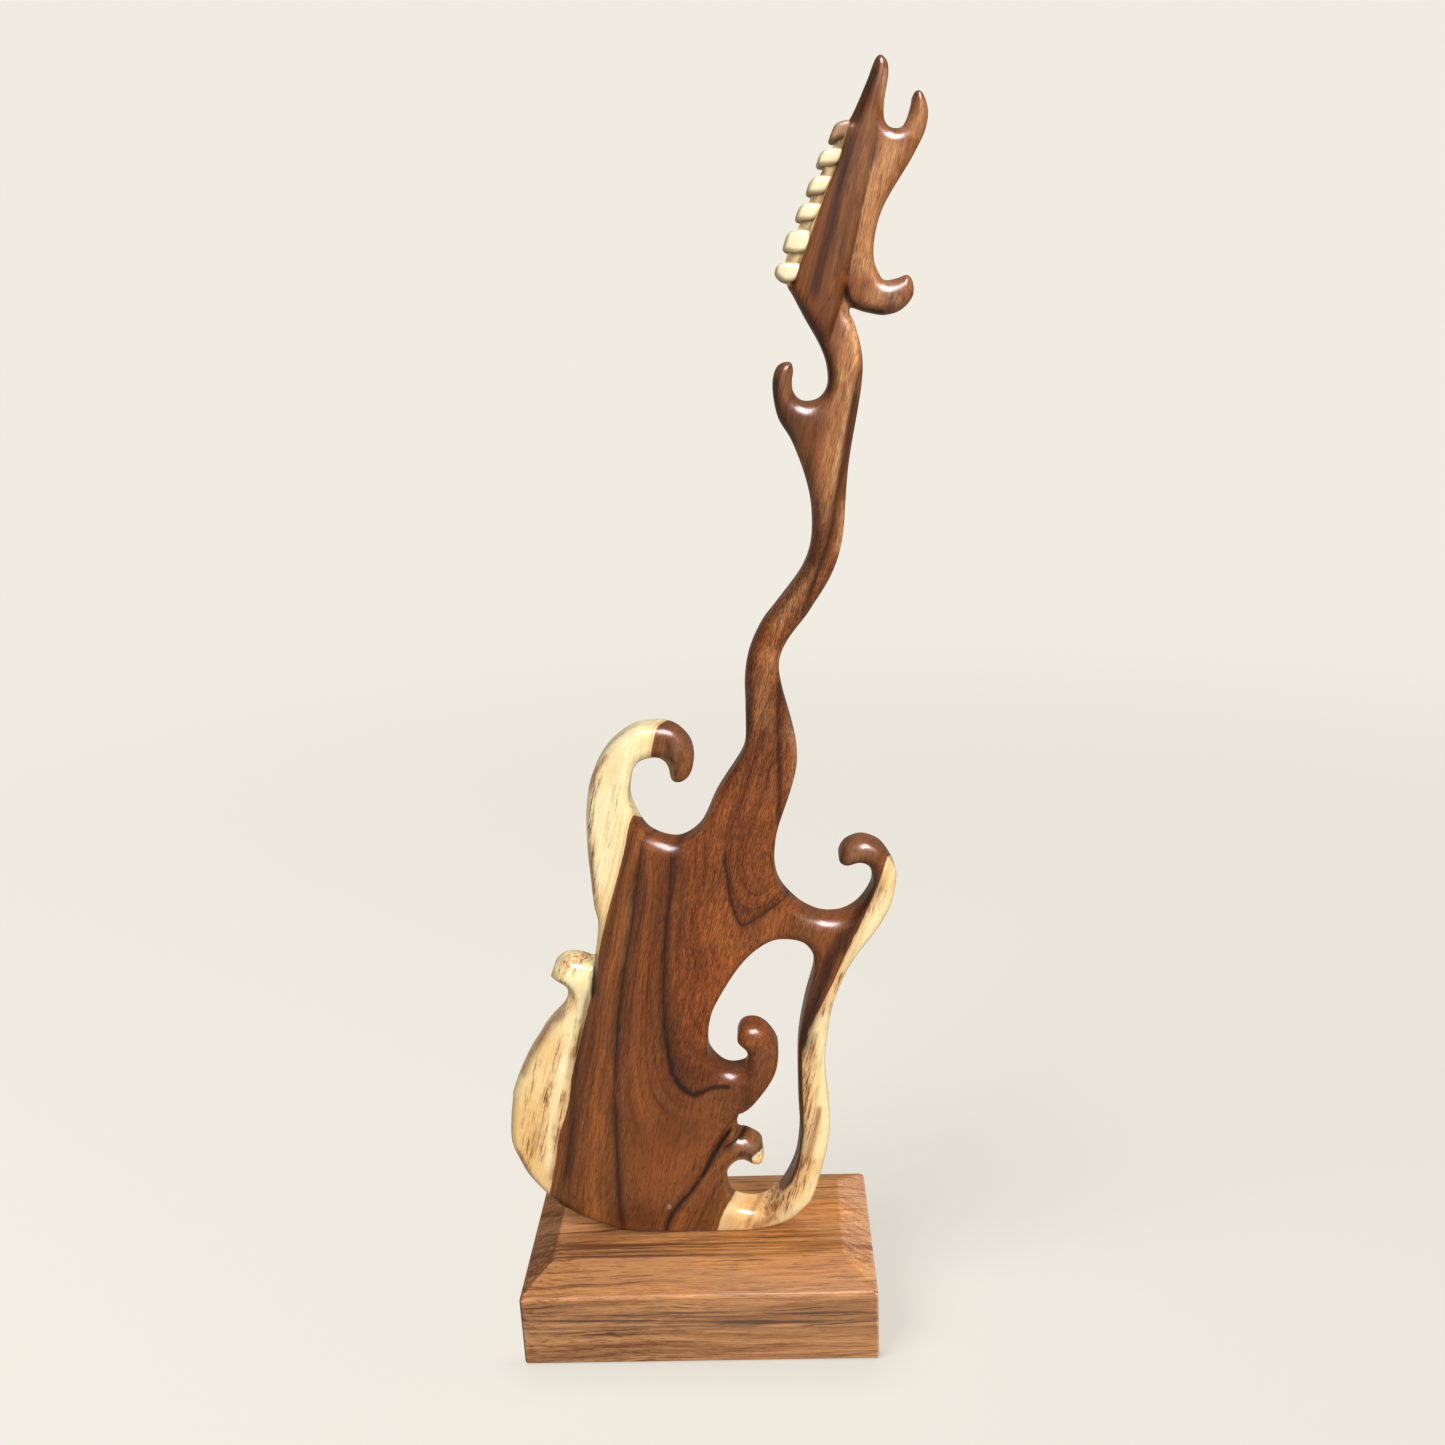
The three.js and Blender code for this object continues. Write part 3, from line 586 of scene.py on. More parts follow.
# narrow strips on the neck and the headstock: paler golden wood, with painted sheen on top
NECK_STRIP = "84.6 508, 86.6 498, 87.6 488, 86.6 477, 84.2 464, 81 449, 78 434, 75.4 420"
LOWER_STRIP = "77.6 398, 79.8 410, 81.2 424"
HEAD_STRIP = "85.2 515, 87.2 522, 89.6 531, 92 542, 94.6 552, 97 562"

# The stroke tables that follow are "width strength: x z, ..." per stroke.
# darker streaks of the wood, and painted shade in the creases, under the pegs, the hooks and the curl, and on
# edges turned from the light
DARK_AND_SHADE = """
3.4 1.0: 80 222, 74.5 210, 70 201, 66.5 191, 63.5 180, 60 170, 57.5 160, 55.5 148;
2.0 0.9: 92 246, 88.5 233, 83.5 222, 79 212, 75 202;
1.5 0.75: -3 264, -4.5 243, -7.5 222, -10 200, -11.3 180, -11.4 162, -10 148;
2.2 0.8: -11.2 180, -11 160, -9.8 148, -7.4 139.8, -3 133.6, 1 131, 5 132.8, 9 135.4;
3.0 0.35: -6 190, -7.5 172, -7.5 158, -6 148, -3 141, 1 138;
3.4 0.8: 31 69, 37 75, 42.5 82, 46.5 92, 49.5 104, 50.5 118;
1.1 0.5: 2.5 262, 1 240, -1.5 218, -4 198;
1.7 0.7: 22.3 262, 22.7 248, 24 236, 26 228, 28.6 222.4, 33 224, 38 227.4, 46 233, 51 239;
2.0 0.95: -44.5 209, -45 202, -45.6 194, -46.8 186;
1.9 1.0: 16 106, 12.5 101, 8.5 94, 5 86.5, 0.5 79.5, -4 73, -9.5 66.5, -14 60, -17 52, -18 48;
1.7 0.9: -40.2 49, -40.4 65, -40.4 80, -39.4 105, -38.5 130;
2.2 0.8: -38 138, -37 150, -33.5 178, -29.3 200, -24.6 222, -20.5 245, -17.2 262;
0.9 0.55: -33 150, -30 178, -25.6 200, -21.3 222, -17.5 245;
1.9 0.85: -46.5 198, -50.5 176, -54.5 160, -57.5 146, -60 131, -61.5 118, -63.3 105, -66 90,
-70.5 72;
1.9 0.8: 59 366, 64.5 379, 68.5 391, 73 402, 75.7 412, 78.6 426, 81.4 440, 84.6 456, 87.2 470,
88.6 484;
2.2 0.8: 52 478, 52.5 466, 56.5 455, 61 446;
2.4 0.6: 38 356, 36.5 344, 36 330, 35.5 314;
2.2 0.45: 67.5 428, 68.6 416, 68 402, 64 392, 56 381, 46 368;
1.7 0.7: 47 270, 49.2 288, 49.4 305, 49.8 325, 50.6 348;
2.4 0.8: 62.5 509, 67 501.5, 71.5 493, 75 483, 76 472, 73 466.5;
1.6 0.95: 84.2 514, 84.6 509, 86.6 505, 90.5 502.6, 96 501, 102 500.4;
1.5 0.6: 101.5 500, 102.8 505, 103.6 510;
1.1 0.5: 76.5 492, 78.6 497, 81 503.5, 83.2 510;
2.3 1.0: 70 503, 72 514, 75 525, 78.3 535, 81 545, 84 556, 87.2 567, 90 576;
2.4 0.8: 88.5 572, 92 580, 95.5 589, 98 596;
0.8 0.45: 83.8 512, 85.8 521, 88.3 530, 90.7 541, 93.3 550, 96 560, 97.6 569;
0.9 0.5: 79 512, 82 524, 85 536, 88 548;
1.8 0.6: -1 319, -1.5 310, 0.5 303;
2.0 0.6: -60 60, -68 66, -76 73;
0.9 0.9: 13 97, 17 99.8, 21 102, 26 104.5, 31.5 106.5;
1.6 0.8: 21 94.4, 25 95.4, 29 93.6;
1.6 0.9: 84.5 573.6, 82.6 569.8, 80.1 566.2;
1.5 0.9: 76.6 558.6, 74.9 555.2;
1.5 0.9: 72.4 548.6, 70.6 545.2;
1.5 0.9: 67.6 538.6, 65.8 535;
1.5 0.9: 62.6 526.4, 60.2 522
"""
# bright cream bands in the sapwood
CREAM = """
2.7 1.0: -48.5 196, -52.6 183, -58 166, -62 152.5, -66 138.5, -69.8 125, -72.4 112, -74.6 98,
-77.8 82;
3.6 0.7: -37 302, -38 282, -37.4 262, -37.4 244;
1.8 0.7: 64.5 168, 65.4 150, 65.6 132, 65 112;
2.4 0.8: 88 212, 94 226, 99 240;
2.0 0.7: 50 60, 57 70, 61 84;
3.0 0.9: -60 196, -54 197.5, -48 197
"""
# painted sheen along the light strips; it is added into the sheen-and-tone map
STRIP_SHEEN = f"""
1.1 0.95: {NECK_STRIP};
0.8 0.7: {HEAD_STRIP};
1.0 0.6: {LOWER_STRIP}
"""
# fine dark lines: growth lines of the wood, and painted shade in the creases by the hook, the small scroll
# and the headstock's curl; here the width is a half width
LINES_AND_CREASE_SHADE = """
0.55 0.6: -3 265, -4.5 243, -7.5 222, -10 200, -11.4 180, -11.6 162, -10.3 148, -8.2 139.5;
1.5 0.85: -11.5 164, -10.6 151, -8.4 140.5, -6 136, -3 132.6, 1 129.8, 4.5 131, 9 133.4,
15 134.2, 21 133.6;
0.6 0.55: 22.4 262, 22.8 248, 24 236, 26 228, 28.6 221.8, 33 223.4, 38 226.8, 46 232.4, 52 238;
1.25 1.0: 19 109, 16 106, 12.5 101, 8.5 94.2, 5 86.8, 1 80;
0.8 0.9: 2 81.5, -4 73, -9.5 66.5, -14 60, -17 52, -18.5 44;
0.6 0.9: 13.5 97.3, 17 99.8, 21 102, 26 104.5, 32 106.5;
1.1 1.0: -44.4 210, -45 202, -45.6 194, -46.8 184;
0.5 0.55: -40.4 44, -40.5 65, -40.5 80, -39.4 105, -38.5 132;
0.5 0.6: -38 138, -37 150, -33.5 178, -29.3 200, -24.6 222, -20.5 245, -17.2 264;
0.3 0.5: -31 150, -28 178, -23.6 200, -19.3 222, -15.5 245, -13 264;
0.35 0.35: 84 514, 85.8 521, 88.3 530, 90.7 541, 93.3 550, 96 560, 97.8 570;
0.9 0.75: 84.3 515, 84.5 510, 86.4 505.4, 90.5 502.6, 96 501, 101 500.3;
0.6 0.4: 75.6 489, 78.4 496.6, 80.8 503.2, 82.8 509, 84.2 514.6;
0.9 0.4: 47 270, 49.0 288, 49.2 305, 49.4 325, 50.4 349;
0.9 0.35: 65 380, 69 391, 73.4 402, 76.0 412, 78.8 426, 81.6 440, 84.8 456, 87.3 470
"""
# brown streaks that run through the sapwood
STREAK = """
5 0.8: -88 82, -85.5 98, -81 114, -78 126;
2.4 0.95: -61.5 168, -66.5 152, -71 139, -74.2 127, -76.4 114, -79 100, -82 88;
1.6 0.8: -74 156, -79 142, -84 126, -88 110;
2.4 1.0: -72.5 96, -70 112, -66.5 122, -62.5 137;
2.4 0.9: -59 150, -56 162, -52.5 176;
3.0 0.8: -41.6 225, -42 245, -41.5 262, -39 290, -31 308;
3.0 0.5: -33 262, -30 280, -25 298;
4.4 1.0: 57.5 98, 58 115, 58 130, 59 148, 62 165;
2.8 0.9: 66 170, 70 180, 78 197;
6 1.0: 28 60, 36 62, 46 68, 54 82, 58 96;
5 0.8: -63 203, -57 202, -50 204;
3 0.8: -65 196, -58 190, -57 182, -66 172;
3 0.7: 90 225, 98 240
"""
# redder streaks in the sapwood
RED = """
3.0 0.8: 26 50, 33 54, 41 58.5;
1.6 0.6: -84 80, -88 90, -91 102;
1.4 0.8: -41 290, -37 302, -30 311;
1.2 0.8: -42 238, -42.5 252, -42.4 268;
1.6 0.9: 64 124, 62.5 116, 60.5 106, 58 96, 55 86;
1.8 0.9: 43 66, 38 62, 33 57;
1.2 0.8: 40 71, 36 66, 34 60;
1.4 0.7: 63 165, 60.5 152, 60 140;
1.6 0.7: 24 50, 26 56, 27 62;
2.6 0.75: -62 177, -69 171, -76 161, -82 151, -87 140;
1.3 0.8: -67.5 116, -70 104, -72.6 92, -75.5 80;
1.3 0.5: -57.5 160, -60.3 149, -62.3 139;
1.6 0.4: -79 118, -81 106, -83.5 94;
1.0 0.5: -64 203.5, -57 202.4, -50 203.4
"""
# lighter streaks in the heartwood
LIGHT = f"""
5.0 0.85: 90 512, 91 524, 95 542, 101 558, 107 571;
4.0 0.55: 110 568, 114 576, 115 584;
4.0 0.45: 90 507, 98 505, 107 507;
3.4 0.8: 84 508, 84.6 497, 83.5 484, 82 470;
4.2 0.5: 82 478, 79 460, 75.5 440, 74.5 420, 73 408;
1.7 1.0: {NECK_STRIP};
1.6 0.75: {LOWER_STRIP};
1.5 0.6: 54 328, 55.8 314, 55.6 300, 52.5 288;
1.6 0.5: 92 570, 88 556, 84.5 542, 80 520, 77 506;
3.4 0.5: 48 365, 60 382, 68 396;
4.0 0.32: 43 318, 43.5 332, 45 347, 48 360;
3.0 0.5: -36 302, -24 315, -12 318;
1.0 0.8: {HEAD_STRIP};
1.6 0.7: 89 545, 92 560, 94.5 572, 97 583;
2.4 0.5: 101 595, 100.5 586, 99.5 578;
1.6 0.5: 95 507, 100 505.5, 108 505.5;
2.6 0.35: -20 250, -25 228, -31 200
"""

# The spot tables that follow are "x z reach strength" per spot.
# painted bluish sheen on the curls and hooks, the window's reflection spread wide
COOL_SHEEN = """
57 474 9 0.8, 4 312 8 1.0, 80 256 7 1.0, 89 255 7 0.6, 60 221 7 0.8, 106 509 7 0.9,
28 96 5 1.0, 98 591 6 0.8, 38 150 7 0.4, 54 318 7 0.8, -10 66 7 0.5, 2 300 7 0.6, 66 461 7 0.5
"""
WARM = "-12 92 22 0.45, -10 70 14 0.3, 10 190 30 0.6, 60 225 14 0.2"
PALE = "32 90.6 4.2 1.0"
# browner sapwood
TAN = """
-82 116 26 0.85, -72 158 14 0.8, -84 90 14 0.6, 28 55 17 1.0, 62 132 14 0.6, 54 80 14 0.75,
72 186 10 0.6, -60 185 8 0.5, -41 234 9 0.6, 98 241 9 0.7, 74 548 22 0.45, 62 520 10 0.5
"""
# positive places are lighter and bluer, painted sheen and highlights; negative places are darker than the
# rest
SHEEN_AND_TONE = """
-54 197 7 0.3, -64 148 6 0.3, 78 400 5 0.5, 44 60 6 -0.5, 16 53 6 -0.5, 71 501 6 0.5,
-10 112 17 -0.85, -30 60 11 -0.9, -20 240 7 -0.8, 15 250 14 -0.45, 36 266 14 -0.7,
40 306 16 -0.6, 5 200 12 -0.3, 60 460 7 -0.9, -25 180 12 -0.3, 20 135 7 0.9, 14 79 5 0.6,
28 96.5 5 1.0, 67 186 7 0.5, 54.5 315 6 0.8, 87 257 7 0.5, 94 514 10 0.55, 104 508 8 0.4,
98 560 9 0.2, 110 570 9 0.5, 98 591 6 0.6, 58 476 6 0.3, 79 532 8 -0.35, 72 494 9 -0.55,
88 470 5 0.8, 77 455 6 -0.4, 42 341 5 -0.5, 48 355 6 0.4
"""
# quiet places, where no growth line shows
CALM = """
66 215 15 0.9, 84 256 13 0.8, -12 100 26 0.75, 8 116 16 0.7, 0 311 13 0.8, 36 152 15 0.8,
27 103 11 0.7, 18 180 18 0.5, 45 245 10 0.4, 95 515 14 0.9, 108 508 12 0.8, 104 560 12 0.9,
112 575 12 0.9, 80 450 18 0.8, 75 420 16 0.6, 56 475 12 0.6, 5 118 18 0.95, -14 80 22 0.8
"""
# x z along the right-hand edge of the headstock's face plate
PLATE_EDGE = """
68 474, 72 482, 75.5 490, 77.5 495, 80.5 503, 83.5 513, 85.8 521, 88.3 530, 90.7 541,
93.3 550, 96 560, 97.8 569, 98.8 578, 99.6 588, 100 602
"""


def growth_stations():
    points, numbers = [], []
    for number, line in strokes(GROWTH):
        spacing = 4.2 if number >= 0 else 12.0
        curve = smooth_curve(line, LINE_STEP, closed=False)
        keep = [curve[0]]
        for point in curve[1:]:
            if np.hypot(*(point - keep[-1])) > spacing:
                keep.append(point)
        points += keep
        numbers += [number] * len(keep)
    for x, z, number in table(HEART):
        points.append((x, z))
        numbers.append(number)
    return np.array(points, float), np.array(numbers, float)


def growth_field(points, numbers, smoothing=3e-4, scale=100.0, batch=8000):
    """Thin-plate surface through the growth lines."""
    centre = points.mean(0)
    knots = (points - centre) / scale
    n = len(knots)

    def kernel(places):
        square = ((places[:, None] - knots[None]) ** 2).sum(-1)
        return 0.5 * square * np.log(square + 1e-9)

    system = np.zeros((n + 3, n + 3))
    system[:n, :n] = kernel(knots) + np.eye(n) * smoothing
    system[:n, n] = system[n, :n] = 1
    system[:n, n + 1:], system[n + 1:, :n] = knots, knots.T
    weights = np.linalg.solve(system, np.r_[numbers, 0, 0, 0])

    def growth(x, z):
        places = (np.stack([x, z], 1) - centre) / scale
        out = np.empty(len(places))
        for i in range(0, len(places), batch):
            part = places[i:i + batch]
            out[i:i + batch] = kernel(part) @ weights[:n] + weights[n] + part @ weights[n + 1:]
        return out

    return growth


def stroke_map(text):
    total = raster.zeros()
    for width, strength, line in strokes(text):
        window, side, place = raster.beside(line, width * 3)
        mark = strength * taper(place, 0.12) * np.exp(-((side / width) ** 2))
        total[window] = np.maximum(total[window], mark)
    return total


def spot_map(text, power, combine=np.maximum, start=0.0):
    total = start + raster.zeros()
    for x, z, reach, strength in table(text):
        total = combine(total, strength * spot(x, z, reach, power))
    return total


def line_and_shade_maps():
    """Signed distance to the nearest fine line (growth lines and painted crease shade alike), its half width,
    and its strength.
    """
    away, half_width, strength_map = raster.zeros() + 9.0, raster.zeros(), raster.zeros()
    for width, strength, line in strokes(LINES_AND_CREASE_SHADE):
        window, side, place = raster.beside(line, 6.0)
        length = sum(math.hypot(b[0] - a[0], b[1] - a[1]) for a, b in zip(line, line[1:]))
        nearer = np.abs(side) < np.abs(away[window])
        ends = (smoothstep(np.minimum(place, 1 - place) * length / 3.0)
                * smoothstep((5.0 - np.abs(side)) / 1.5))
        for target, value in ((half_width, width), (strength_map, strength * ends), (away, side)):
            target[window] = np.where(nearer, value, target[window])
    return away, half_width, strength_map


# the figure leans to the right as it goes through the board, less so in the headstock
LEAN = 0.35
depth_in_board = board_points[:, 1] - FRONT
lean = (LEAN - 0.24 * smoothstep((board_points[:, 2] - 478) / 24)) * depth_in_board
figure_x, figure_z = board_points[:, 0] - lean, board_points[:, 2]


def sampled(values):
    return raster.sample(values, figure_x, figure_z)


growth_at = growth_field(*growth_stations())
attribute(carving, "growth", growth_at(figure_x, figure_z))
attribute(carving, "dark", sampled(stroke_map(DARK_AND_SHADE)))
attribute(carving, "streak", sampled(stroke_map(STREAK)))
calm_map = np.maximum(spot_map(CALM, power=1.5), 0.95 * smoothstep((raster.z - 385) / 30))
attribute(carving, "calm", sampled(calm_map))
attribute(carving, "red", sampled(stroke_map(RED)))
attribute(carving, "warm", sampled(spot_map(WARM, power=1.0)))
attribute(carving, "pale", sampled(spot_map(PALE, power=2.0)))
plate_map = raster.zeros()
window, side, place = raster.beside(table(PLATE_EDGE), 45.0)
plate_map[window] = smoothstep((side + 0.2) / 0.5) * smoothstep((place - 0.02) / 0.1)
attribute(carving, "plate", sampled(plate_map))
attribute(carving, "cream", sampled(stroke_map(CREAM)))
for name, text, start in (("tan", TAN, 0.0), ("sheen_and_tone", SHEEN_AND_TONE, stroke_map(STRIP_SHEEN)), ("cool_sheen", COOL_SHEEN, 0.0)):
    summed = spot_map(text, power=1.2, combine=np.add, start=start)
    attribute(carving, name, np.clip(sampled(summed), -1, 1))
for name, values in zip(("line_and_shade", "line_and_shade_width", "line_and_shade_on"), line_and_shade_maps()):
    attribute(carving, name, sampled(values))
# how fast the growth number changes per millimetre
coarse = Raster(board_low[0] - 8, board_high[0] + 8, FOOT - 8, TOP + 8, 2.0)
coarse_x, coarse_z = np.broadcast_arrays(coarse.x, coarse.z)
coarse_growth = growth_at(coarse_x.ravel(), coarse_z.ravel()).reshape(coarse_x.shape)
slope_map = blur(np.hypot(*np.gradient(coarse_growth, coarse.step)), 1.5)
attribute(carving, "slope", np.clip(coarse.sample(slope_map, figure_x, figure_z), 0.006, 0.10))
attribute(carving, "light", sampled(stroke_map(LIGHT)))


# ---- pegs: plump rounded blocks let into the headstock's left edge ---------------------------
def make_peg(number, stations):
    low, high = node_box(f"tuning_peg_{number}")
    small = Raster(low[0] - 3, high[0] + 3, low[2] - 3, high[2] + 3, 0.2)
    edge = small.signed([smooth_curve(stations, PEG_OUTLINE_STEP) + shift], 7.0)
    edge = np.where(edge < -1.5, np.minimum(blur(edge, 2.5), -1.5), edge)
    centre = (low + high) / 2
    half = (high[1] - low[1]) / 2

    def field(x, y, z):
        dome = 0.008 * ((x - centre[0]) ** 2 + (z - centre[2]) ** 2)
        u = small.sample(edge, x, z) + PEG_RADIUS
        v = np.abs(y - centre[1]) - half + dome + PEG_RADIUS
        corner = (np.maximum(u, 0) ** 2.3 + np.maximum(v, 0) ** 2.1) ** (1 / 2.1)
        return corner + np.minimum(np.maximum(u, v), 0) - PEG_RADIUS

    axes = [spaced(low[k] - 1.2, high[k] + 1.2, PEG_CELL) for k in range(3)]
    points, quads = solid(field, axes, probe=0.03)
    ob = mesh_object(f"peg_{number}", points, quads)
    attribute(ob, "growth", growth_at(points[:, 0] - LEAN * (points[:, 1] - FRONT), points[:, 2]))
    return ob


pegs = [make_peg(number, stations) for number, stations in enumerate(PEGS, 1)]

# ---- base block: planed and bevelled, every arris eased ---------------------------------------
base_low, base_high = node_box("base_block")
felt_low, felt_high = node_box("base_felt")
screw_boxes = [node_box("base_screw_1"), node_box("base_screw_2")]


def bevelled_block(name, low, high):
    bm = bmesh.new()
    rings = []
    for z, dx, dy in ((low[2], 0, 0), (high[2] - SHOULDER_DROP, 0, 0),
                      (high[2], TOP_INSET_X, TOP_INSET_Y)):
        x0, x1, y0, y1 = low[0] + dx, high[0] - dx, low[1] + dy, high[1] - dy
        rings.append([bm.verts.new((x, y, z)) for x, y in ((x0, y0), (x1, y0), (x1, y1), (x0, y1))])
    bm.faces.new(rings[0][::-1])
    bm.faces.new(rings[2])
    for lower, upper in zip(rings[:-1], rings[1:]):
        for k in range(4):
            after = (k + 1) % 4
            bm.faces.new((lower[k], lower[after], upper[after], upper[k]))
    bmesh.ops.recalc_face_normals(bm, faces=bm.faces)
    bmesh.ops.bevel(bm, geom=list(bm.edges), offset=ARRIS, offset_type="OFFSET",
                    segments=ARRIS_SEGMENTS, profile=0.5, affect="EDGES", clamp_overlap=True)
    mesh = bpy.data.meshes.new(name)
    bmesh.ops.scale(bm, vec=(MM,) * 3, verts=bm.verts)
    bm.to_mesh(mesh)
    bm.free()
    return link_object(name, mesh)


def cut(ob, cutter, name):
    """Subtracts the cutter from the object and removes it."""
    modifier = ob.modifiers.new(name, "BOOLEAN")
    modifier.operation, modifier.solver, modifier.object = "DIFFERENCE", "EXACT", cutter
    evaluated = ob.evaluated_get(bpy.context.evaluated_depsgraph_get())
    mesh = bpy.data.meshes.new_from_object(evaluated)
    ob.modifiers.clear()
    old = ob.data
    ob.data = mesh
    bpy.data.meshes.remove(old)
    bpy.data.objects.remove(cutter)


def bore_cutter(low, high):
    """Countersunk bore, open at both ends of the block."""
    x, y = (low[0] + high[0]) / 2, (low[1] + high[1]) / 2
    radius = (high[0] - low[0]) / 2 + HEAD_CLEARANCE
    seat = low[2] + HEAD_GAP
    rings = [(radius, base_low[2] - CUTTER_OVERSHOOT), (radius, seat),
             (BORE_RADIUS, seat + radius - BORE_RADIUS),
             (BORE_RADIUS, base_high[2] + CUTTER_OVERSHOOT)]
    faces = side_quads(4, BORE_SEGMENTS) + caps(4, BORE_SEGMENTS)
    return mesh_object("cutter", ring_points(rings, BORE_SEGMENTS, x, y), faces, smooth=False)


def felt_outline(grow, corner):
    """Rectangle with round corners about the felt, counter-clockwise from above."""
    cx, cy = (felt_low + felt_high)[:2] / 2
    half_x, half_y = (felt_high - felt_low)[:2] / 2 + grow
    ring = []
    for side_x, side_y, start in ((1, -1, -90), (1, 1, 0), (-1, 1, 90), (-1, -1, 180)):
        for k in range(9):
            turn = math.radians(start + 90 * k / 8)
            ring.append((cx + side_x * (half_x - corner) + corner * math.cos(turn),
                         cy + side_y * (half_y - corner) + corner * math.sin(turn)))
    return ring


def rebate_cutter():
    rim = felt_outline(FELT_CLEARANCE, FELT_CORNER + FELT_CLEARANCE)
    levels = (base_low[2] - CUTTER_OVERSHOOT, felt_high[2] + FELT_CLEARANCE)
    points = np.array([(x, y, z) for z in levels for x, y in rim])
    faces = caps(2, len(rim)) + side_quads(2, len(rim))
    return mesh_object("cutter", points, faces, smooth=False)


def shade_block(ob):
    """Smooth shading with sharp edges where faces meet steeply."""
    ob.data.polygons.foreach_set("use_smooth", np.ones(len(ob.data.polygons), bool))
    bm = bmesh.new()
    bm.from_mesh(ob.data)
    bm.normal_update()
    flags = [len(edge.link_faces) == 2 and edge.calc_face_angle(0.0) > SHARP_ANGLE
             for edge in bm.edges]
    bm.free()
    layers = ob.data.attributes
    sharp = layers.get("sharp_edge") or layers.new("sharp_edge", "BOOLEAN", "EDGE")
    sharp.data.foreach_set("value", flags)
    modifier = ob.modifiers.new("even", "WEIGHTED_NORMAL")
    modifier.keep_sharp, modifier.weight = True, 80


base = bevelled_block("base", base_low, base_high)
for box in screw_boxes:
    cut(base, bore_cutter(*box), "bore")
cut(base, rebate_cutter(), "rebate")
shade_block(base)


# ---- wood screws with a rolled thread and a cross recess ---------------------------------------
def wood_screw(name, low, high):
    """Screw that stands point up, its head at the bottom."""
    centre_x, centre_y = (low[0] + high[0]) / 2, (low[1] + high[1]) / 2
    head = (high[0] - low[0]) / 2
    under, point = low[2], high[2]
    # (radius, height above the head's underside) from the recess floor to the rim
    rows = [(radius, under + rise) for radius, rise in (
        (0.05, 2.2), (0.6, 2.0), (1.1, 1.2), (1.7, 0.25), (2.3, 0.02), (3.2, 0),
        (head - 0.15, 0), (head, 0.12), (head, 0.55))]
    # then the cone, and rows without a radius for the plain shank, the thread and the point
    rim = under + 0.55
    cone_top = under + head - SHANK_RADIUS + 0.7
    for t in np.linspace(0.15, 1, 6):
        rows.append((head + (SHANK_RADIUS - head) * t, rim + (cone_top - under - 0.55) * t))
    z = cone_top
    while z < point - 0.25:
        z += 0.26
        rows.append((None, z))

    def thread_radius(z, turn):
        start = smoothstep((z - cone_top - 9) / 3)
        tip = np.clip((point - z) / 6.0, 0, 1)
        phase = (z / THREAD_PITCH - turn) % 1.0
        crest = max(0.0, 1 - abs(phase - 0.5) / 0.28)
        core = (SHANK_RADIUS - THREAD_DEPTH * start) * tip**0.75
        return max(core + THREAD_DEPTH * start * crest * min(1.0, tip * 1.6 + 0.05), 0.12)

    def recess_height(radius, z, angle):
        if abs(math.sin(2 * angle)) < 0.42:
            return max(z, under + (1.7 if radius < 2.9 else 0.0))
        return under + (0.02 if radius > 1.0 else 1.9)

    points = []
    for row_radius, row_z in rows:
        for k in range(SCREW_SEGMENTS):
            angle = 2 * math.pi * k / SCREW_SEGMENTS
            radius, z = row_radius, row_z
            if radius is None:
                radius = thread_radius(z, k / SCREW_SEGMENTS)
            elif 0.5 < radius < 3.3 and z < under + 2.1:
                z = recess_height(radius, z, angle)
            points.append((centre_x + radius * math.cos(angle),
                           centre_y + radius * math.sin(angle), min(z, point)))
    ends = [cap[::-1] for cap in caps(len(rows), SCREW_SEGMENTS)]
    ob = mesh_object(name, np.array(points), side_quads(len(rows), SCREW_SEGMENTS) + ends)
    bm = bmesh.new()
    bm.from_mesh(ob.data)
    bmesh.ops.recalc_face_normals(bm, faces=bm.faces)
    bm.to_mesh(ob.data)
    bm.free()
    return ob


screws = [wood_screw(f"screw_{number}", *box) for number, box in enumerate(screw_boxes, 1)]


# ---- felt sheet: thin, with a slightly ragged edge -----------------------------------------------
def felt_sheet():
    ring = felt_outline(0.0, FELT_CORNER)
    dense = []
    for p, q in zip(ring, ring[1:] + ring[:1]):
        count = max(1, int(math.hypot(q[0] - p[0], q[1] - p[1]) / FELT_SPACING))
        dense += [(p[0] + (q[0] - p[0]) * i / count, p[1] + (q[1] - p[1]) * i / count)
                  for i in range(count)]
    rim = np.array(dense)
    tangent = np.roll(rim, -1, 0) - np.roll(rim, 1, 0)
    tangent /= np.linalg.norm(tangent, axis=1)[:, None]
    inward = np.stack([-tangent[:, 1], tangent[:, 0]], 1)
    rng = np.random.default_rng(7)
    thick = felt_high[2] - felt_low[2]
    # (inset from the rim, height); only the rows near the rim are ragged
    rows = [(6.0, 0.0), (0.45, 0.0), (0.12, 0.12 * thick), (0.0, 0.4 * thick),
            (0.0, 0.7 * thick), (0.12, 0.92 * thick), (0.4, thick), (6.0, thick)]
    n = len(rim)
    points = []
    for inset, z in rows:
        fuzz = np.abs(rng.normal(0, FELT_FUZZ, n)) if inset < 1 else np.zeros(n)
        points.append(np.c_[rim + inward * (inset + fuzz)[:, None], np.full(n, felt_low[2] + z)])
    faces = side_quads(len(rows), n) + caps(len(rows), n)
    return mesh_object("felt_sheet", np.vstack(points), faces, smooth=False)


felt = felt_sheet()

# ---- shader helpers --------------------------------------------------------------------------------
material = None  # the material being built; the node helpers below add to its tree


